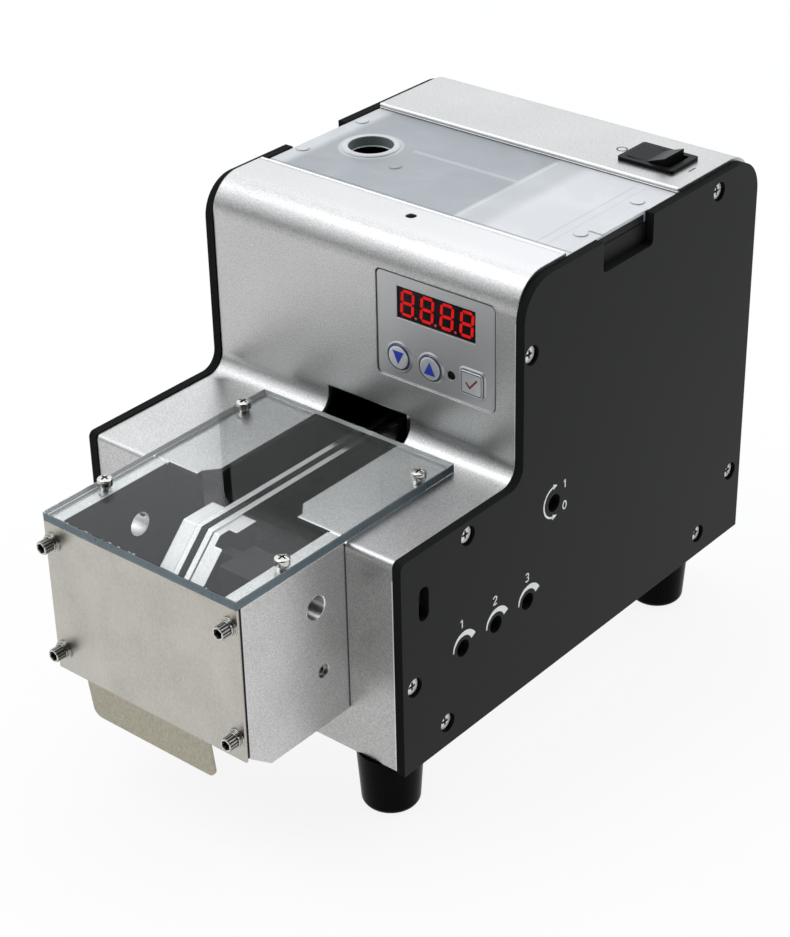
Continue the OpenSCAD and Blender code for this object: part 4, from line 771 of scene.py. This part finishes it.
set_face = front_place(BUTTONS["button_set"], BUTTON_Z, BUTTON_FRONT)
set_line = stroke(round_frame(7.3, 6.7, 0.7), 0.13, set_face, closed=True)
set_tick = stroke(path((-2.0, 0.1), (-0.6, -1.5), (2.1, 1.7)), 0.3, set_face)
piece("button_set_line", [set_line], "navy_ink", body="button_set")
piece("button_set_tick", [set_tick], "red_ink", body="button_set")


# Label edge

def label_painted_edges():
    """Painted shade as a dark line round the upper three sides of the label, and a painted highlight along
    its foot.
    """
    wide, high = LABEL["wide"] - 0.4, LABEL["high"] - 0.4
    place = front_place(LABEL["x"] + LABEL["wide"] / 2, LABEL["z"] + LABEL["high"] / 2, LABEL["face"])
    loop = round_frame(wide, high, 1.8)
    upper = np.concatenate([loop[-7:], loop[:35]])
    foot = path((-wide / 2 + 1.2, -high / 2), (wide / 2 - 1.2, -high / 2), step=2.0)
    return stroke(upper, 0.17, place, 0.02), stroke(foot, 0.14, place, 0.02)


# Painted shade along the label's upper edges, painted highlight along its foot.
outline, foot_highlight = label_painted_edges()
piece("label_painted_edges", [outline], "black_ink")
piece("label_foot_highlight", [foot_highlight], "button_metal")


# Printed marks

def numeral(which):
    """A plain numeral 2.4 high about the origin, as one line, and whether the line is closed."""
    if which == 0:
        return circle(1.0, 40) * (0.75, 1.2), True
    if which == 1:
        return path((-0.55, 0.75), (0.1, 1.2), (0.1, -1.2)), False
    if which == 2:
        slant, foot = path((0.45, 0.0), (-0.72, -1.2)), path((-0.6, -1.2), (0.78, -1.2))
        return np.concatenate([arc((0, 0.5), 0.7, 165, -35, 24), slant, foot]), False
    return np.concatenate([arc((0, 0.58), 0.62, 150, -85, 24), arc((0, -0.55), 0.65, 85, -150, 24)]), False


def printed(which, size, half, place):
    """A numeral as a band of one width."""
    line, closed = numeral(which)
    return stroke(line * size, half, place, closed=closed)


def dial_marks():
    """Round each dial a band from the left over the top to the right, evenly wider, and its numeral above."""
    turn = np.radians(np.linspace(DIAL_BAND["start"], DIAL_BAND["end"], 60))
    width = np.linspace(DIAL_BAND["thin"], DIAL_BAND["wide"], 60)
    middle = DIAL_BAND["inner"] + width / 2
    line = np.stack([middle * np.cos(turn), middle * np.sin(turn)], -1)
    parts = []
    for k, y in enumerate(DIALS):
        parts.append(stroke(line, width / 2, side_place(y, DIAL_Z)))
        parts.append(printed(k + 1, 1.15, 0.23, side_place(y - 0.4, DIAL_Z + 8.6)))
    return parts


def gate_marks():
    """A bowed line left of the gate's hole with a tapered head on each end, and 1 and 0 beside the ends."""
    place, bow = side_place(*GATE), (GATE_BOW["centre"], GATE_BOW["r"])
    parts = [stroke(arc(*bow, 95, 262), 0.3, place)]
    for tip, back in ((76, 97), (284, 260)):
        parts.append(stroke(arc(*bow, back, tip, 8), np.linspace(0.9, 0.03, 8), place))
    for which, v in ((1, 4.2), (0, -3.2)):
        parts.append(printed(which, 1.1, 0.22, side_place(GATE[0] + 5.4, GATE[1] + v)))
    return parts


def switch_marks():
    """A ring beside the pressed end for off and a bar beside the raised end for on."""
    off_at, on_at = top_place(SWITCH[0] - 13.6, SWITCH[1] + 0.4), top_place(SWITCH[0] + 12.8, SWITCH[1] - 0.4)
    off = stroke(circle(1.6, 48), 0.24, off_at, 0.02, closed=True)
    on = stroke(path((0, -1.8), (0, 1.8)), 0.27, on_at, 0.02)
    return [off, on]


piece("dial_marks", dial_marks(), "white_ink")
piece("gate_marks", gate_marks(), "white_ink")
piece("switch_marks", switch_marks(), "black_ink")


# The clear window over the counting box

def clear_slab():
    """The window's solid with its loose triangles joined at equal corners, and its under face 0.05 mm higher
    than the deck."""
    solid = NODES["top_window"].data
    solid.calc_loop_triangles()
    points, corners = np.empty(len(solid.vertices) * 3), np.empty(len(solid.loop_triangles) * 3, int)
    solid.vertices.foreach_get("co", points)
    solid.loop_triangles.foreach_get("vertices", corners)
    grid, joined = np.unique(np.round(points.reshape(-1, 3) * 1e7).astype(int), axis=0, return_inverse=True)
    points = grid / 1e7
    points[:, 2] += np.where(points[:, 2] < points[:, 2].min() + 1e-5, 0.00005, 0.0)
    return points * 1000 + (0, MID_Y, 0), joined.reshape(-1)[corners].reshape(-1, 3).tolist()


def sheet_band():
    """A thin band round the sheet's four sides, between its two arrises, whose inner points are marked for
    painted light.
    """
    (x0, x1), (y0, y1), (z0, z1) = WINDOW_SHEET["x"], WINDOW_SHEET["y"], WINDOW_SHEET["z"]
    low, high = WINDOW_ARRIS, z1 - z0 - WINDOW_ARRIS
    section = [(-0.03, low), (0.03, low), (0.03, high), (-0.03, high)]
    place = top_place((x0 + x1) / 2, (y0 + y1) / 2, z0)
    band = frame_bead(round_frame(x1 - x0, y1 - y0, 0.3), section, place)
    return band, np.tile([1.0, 0.0, 0.0, 1.0], len(band[0]) // len(section))


window = piece("clear_window", [clear_slab()], "clear_sheet")
window.data.shade_flat()
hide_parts("top_window")
band, inner_painted_light = sheet_band()
piece("window_sides", [band], "sawn_edge", recess=[inner_painted_light])


# Screw heads, bores, hems and seams

def past(depth):
    """Nought to one over a tenth of a millimetre about an edge."""
    return np.clip(depth * 10 + 0.5, 0, 1)


def in_cross(long, half):
    """One inside either bar of a cross with these half lengths, else nought."""
    def bar(s, w):
        return past(long - abs(s)) * past(half - abs(w))
    return lambda u, v: np.maximum(bar(u, v), bar(v, u))


def in_hexagon(across):
    """One inside a hexagon of this half width across its flats, else nought: the farthest flat decides."""
    turns = np.radians([0, 60, 120])[:, None, None]
    return lambda u, v: past(across - abs(u * np.cos(turns) + v * np.sin(turns)).max(0))


def screw_head(place, radius, rim, crown, deep, inside, arris=0.12, knurl=0.0, teeth=14, foot=-0.05):
    """A screw head on a polar grid: the height is the rim plus a crown that falls with the squared radius,
    less the depth of the recess inside its outline; the side drops to the foot, and its radius and mark wave
    by the knurl. The mark lays painted shade in the recess and on the knurled side."""
    r = np.concatenate([np.linspace(0, radius - arris, 30), [radius, radius, 0.0]])[:, None]
    a = np.linspace(0, TAU, 8 * teeth, endpoint=False)[None]
    side = np.array([knurl, knurl, 0.0])[:, None]
    wavy = r + np.concatenate([np.zeros((30, 1)), side]) * np.cos(teeth * a)
    u, v = wavy * np.cos(a), wavy * np.sin(a)
    mask = inside(u, v)
    high = rim + crown * (1 - (r / radius) ** 2) - deep * mask
    # The knurled side carries painted shade, darkest in its grooves.
    mask[-3:], high[-3], high[-2:] = side * (1.2 + 2 * (1 - np.cos(teeth * a))), rim - arris, foot
    return skin(place(u, v, high)), np.minimum(4 * mask, 1).reshape(-1)


def plain_shank(place, radius=1.2, long=9.0):
    """A screw's shank below its head: a rod turned about the height axis, with no mark."""
    rod = lathe([(0.0, -long), (radius, -long), (radius, 0.2), (0.0, 0.2)], place)
    return rod, np.zeros(len(rod[0]))


def wall_bore():
    """A lining in the right wall's cross hole with drill marks: its radius rises by each ring's depth towards
    the mouth and falls back, and all but its mouth and the strip along its bottom gets painted shade."""
    r, long, pitch = WALL_HOLE["r"] - 0.02, WALL_HOLE["long"], WALL_HOLE["pitch"]
    starts = np.arange(0.0, long - pitch / 2, pitch)
    valleys = np.stack([r - pitch + 0 * starts, starts], -1)
    crests = np.stack([r + 0 * starts, starts + 0.95 * pitch], -1)
    teeth = np.stack([valleys, crests], 1).reshape(-1, 2)
    rim = [(r - 0.1, long - 0.02), (r + 0.14, long + 0.05), (r + 0.18, long - 0.05)]
    profile = np.concatenate([[(r + 0.05, 0.0)], teeth, rim])
    tube = lathe(profile, side_place(WALL_HOLE["y"], WALL_HOLE["z"], WALL_HOLE["x"]))
    # Painted shade over the bore's upper part, none at its mouth.
    high = np.clip((tube[0][:, 2] - WALL_HOLE["z"]) / r * 2.5 + 1.2, 0, 1)
    return tube, high * (tube[0][:, 0] < WALL_HOLE["x"] + long - 0.1)


def edge_chips():
    """Flakes along the window's upper arrises: flat half ellipsoids of seeded place, length and width."""
    draw = np.random.default_rng(7)
    (x0, x1), (y0, y1), top = WINDOW_SHEET["x"], WINDOW_SHEET["y"], WINDOW_SHEET["z"][1]
    a, b, c, d = (x0, y0), (x1, y0), (x1, y1), (x0, y1)
    heights, turns = np.linspace(0, math.pi / 2, 4), np.linspace(0, TAU, 9, endpoint=False)
    lift, round_by = np.meshgrid(heights, turns, indexing="ij")
    parts = []
    for start, end, count in ((a, b, 26), (b, c, 9), (a, d, 7), (d, c, 4)):
        whole = np.subtract(end, start)
        along = whole / np.linalg.norm(whole)
        side = 1 if np.cross(along, np.subtract((0, 0), start)) > 0 else -1
        inwards = np.array([-along[1], along[0]]) * side
        for share, long, wide in draw.uniform((0.02, 0.12, 0.06), (0.98, 0.55, 0.16), (count, 3)):
            middle = np.asarray(start) + whole * share ** 1.5 + inwards * wide
            flat = middle + (np.cos(lift) * np.cos(round_by) * long)[..., None] * along
            flat = flat + (np.cos(lift) * np.sin(round_by) * wide)[..., None] * inwards
            parts.append(skin(np.concatenate([flat, (top + 0.05 * np.sin(lift))[..., None]], -1)))
    return parts


def long_bead(y, z, deep, high):
    """A half-round bead along the width: a half circle, flattened to deep and high, carried end to end."""
    a = np.linspace(0, math.pi, 13)[None]
    ends = np.array([-HEM_END, HEM_END])[:, None]
    sheet = np.stack([ends + 0 * a, y - deep * np.sin(a) + 0 * ends, z + high * np.cos(a) + 0 * ends], -1)
    return skin(sheet, caps=True)


def upright_line(x, face, low, high, half, thick):
    """A straight band up the front, from one height to another."""
    return stroke(path((0, low), (0, high), step=4.0), half, front_place(x, 0, face), thick)


def marked(name, heads, surface):
    """One piece for a set of solids whose points each carry a mark of painted shade."""
    solids, masks = zip(*heads)
    return piece(name, solids, surface, recess=masks)


PANEL_HEAD = dict(radius=2.72, rim=1.0, crown=0.2, deep=0.5, inside=in_cross(1.35, 0.36))
WINDOW_HEAD = dict(radius=2.29, rim=1.92, crown=0.56, deep=0.9, inside=in_cross(1.35, 0.3))
CAP_HEAD = dict(radius=2.05, rim=3.05, crown=0.0, deep=1.6, inside=in_hexagon(1.36), arris=0.2, knurl=0.05)
panel_seats = [side_place(y, z, PANEL_SEAT, side) for side in (-1, 1) for y, z in PANEL_SCREWS]
window_seats = [top_place(x, y, WINDOW_SHEET["z"][1]) for x, y in WINDOW_SCREWS]
cap_seats = [front_place(x, z, CAP_SEAT) for x, z in CAP_SCREWS]
panel_heads = [screw_head(seat, **PANEL_HEAD) for seat in panel_seats]
window_heads = [screw_head(seat, **WINDOW_HEAD) for seat in window_seats]
caps = [screw_head(seat, **CAP_HEAD) for seat in cap_seats] + [plain_shank(seat) for seat in cap_seats]
marked("panel_screw_heads", panel_heads, "nickel_painted_bright")
marked("window_screw_heads", window_heads, "polished_nickel")
cap_screws = marked("cap_screws", caps, "polished_nickel")
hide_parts("front_plate_screws")
marked("wall_bore", [wall_bore()], "bored_metal")
piece("window_chips", edge_chips(), "chip_white")

# Painted highlights: bright lines and beads along the covers' hems and edges.
hem_run = path((-HEM_END, 0), (HEM_END, 0), step=4.0)
rear_lip = [long_bead(136.22, 156.28, 0.26, 0.4), long_bead(136.22, 155.42, 0.24, 0.2),
            stroke(hem_run, 0.4, top_place(0, 136.55))]
front_hem = stroke(hem_run, 0.48, top_place(0, 78.46), 0.1)
piece("rear_lip_hems", rear_lip, "hem_highlight")
piece("front_hem_highlight", [front_hem], "hem_highlight")
edge_highlights = [upright_line(58.13, 0.4, 20.6, 86.0, 0.27, 0.05),
              upright_line(HEM_END, 56.1, 99.0, 143.0, 0.2, 0.04)]
piece("cover_edge_highlights", edge_highlights, "hem_highlight")
seams = [upright_line(x, 0.4, 36.0, 91.8, 0.14, 0.04) for x in (41.05, -34.45)]
piece("wall_seams", seams, "black_ink")
LIP_RING = [(7.1, 0.0), (7.34, 0.0), (7.34, 0.3), (7.22, 0.36), (7.1, 0.24)]
lid_lip = lathe(LIP_RING, top_place(*LID_HOLE, LID_UNDER))
piece("lid_hole_lip", [lid_lip], "white_ink", body="lid")
strip_run = path((-12.0, 0), (12.0, 0), step=2.0)
lid_sides = [stroke(strip_run, 1.15, side_place(106.1, 153.4, 58.1, side), 0.2, 0.02) for side in (-1, 1)]
piece("lid_side_strips", lid_sides, "moulded_black", body="lid")


# Room, light and camera

def pale_floor():
    """A wide level sheet: r and angle on a polar grid, closed by one face in the middle."""
    r = np.array([0.2, 0.5, 1.0, 2.5, 6.0])[:, None]
    a = np.linspace(0, TAU, 64, endpoint=False)[None]
    points, faces = skin(np.stack([r * np.cos(a), r * np.sin(a), 0 * r * a - 1e-5], -1))
    upwards = [face[::-1] for face in faces] + [list(range(a.size))]
    mesh = bpy.data.meshes.new("floor")
    mesh.from_pydata(points.tolist(), [], upwards)
    b = new_surface("pale_floor")
    mottle = b.noise(b.own(), 6.0, 2.0)
    b.give("Base Color", b.blend(mottle, grey(0.9), grey(0.92)))
    b.give("Roughness", 0.8)
    ray = b.add("LightPath").outputs
    seen = b.maths("MAXIMUM", ray["Is Camera Ray"], ray["Is Glossy Ray"])
    seen = b.maths("MAXIMUM", seen, ray["Is Transmission Ray"])
    glow = b.add("Emission", {"Color": (1.0, 1.0, 1.0, 1.0), "Strength": 1.0}).outputs[0]
    b.cover(b.times(seen, 0.88), glow)
    mesh.materials.append(b.material)
    floor = bpy.data.objects.new("floor", mesh)
    bpy.context.scene.collection.objects.link(floor)


def soft_sky():
    """A room that is white above and behind the machine and dark on the camera's side, for every ray."""
    world = bpy.data.worlds.new("soft_sky")
    bpy.context.scene.world = world
    world.use_nodes = True
    b = Board(world.node_tree)
    way = b.add("TexCoord").outputs["Generated"]
    behind = b.span(b.vector("DOT_PRODUCT", way, (-0.65, 0.76, 0.0)), -0.4, 0.52, smooth=True)
    level = b.blend(behind, (0.07, 0.078, 0.073), (1.2, 1.22, 1.25))
    colour = b.blend(b.span(b.along("Z", way), 0.02, 0.7, smooth=True), level, (1.41, 1.44, 1.48))
    facing = b.span(b.vector("DOT_PRODUCT", way, (0.606, -0.613, 0.508)), 0.55, 0.85, smooth=True)
    back = b.tree.nodes["Background"]
    b.feed(back.inputs["Color"], b.blend(facing, colour, (0.05, 0.052, 0.052)))
    back.inputs["Strength"].default_value = 1.0


def put(made, right, up, back, at):
    """Places a lamp or a camera by its three axes and its point, in row metres."""
    turn = np.eye(4)
    turn[:3] = np.stack([right, up, back, at], -1)
    made.matrix_world = Matrix(turn.tolist())
    bpy.context.scene.collection.objects.link(made)


def softbox(name, at, towards, wide, high, power):
    """A flat lamp at a point in row metres, turned to face another."""
    lamp = bpy.data.lights.new(name, "AREA")
    lamp.shape, lamp.size, lamp.size_y, lamp.energy = "RECTANGLE", wide, high, power
    look = np.subtract(towards, at)
    look /= np.linalg.norm(look)
    right = np.cross(look, (0, 0, 1.0))
    right /= np.linalg.norm(right)
    put(bpy.data.objects.new(name, lamp), right, np.cross(right, look), -look, at)


def photo_camera():
    """The photograph's view: place, right and up found by fitting the machine's edges, in row metres."""
    lens = bpy.data.cameras.new("photo_camera")
    lens.sensor_fit, lens.sensor_height, lens.lens = "VERTICAL", 36.0, 86.82
    lens.clip_start, lens.clip_end = 0.05, 20.0
    made = bpy.data.objects.new("photo_camera", lens)
    right = np.array([0.76856705, 0.63946438, -0.01974834])
    up = np.array([-0.30901769, 0.3980803, 0.86373615])
    put(made, right, up, np.cross(right, up), (0.398044, -0.460849, 0.426649))
    bpy.context.scene.camera = made


pale_floor()
soft_sky()
softbox("overhead", (-0.35, -0.3, 0.95), (0.0, 0.0, 0.05), 0.5, 0.5, 1.6)
photo_camera()
bpy.context.scene.view_settings.view_transform = "Standard"
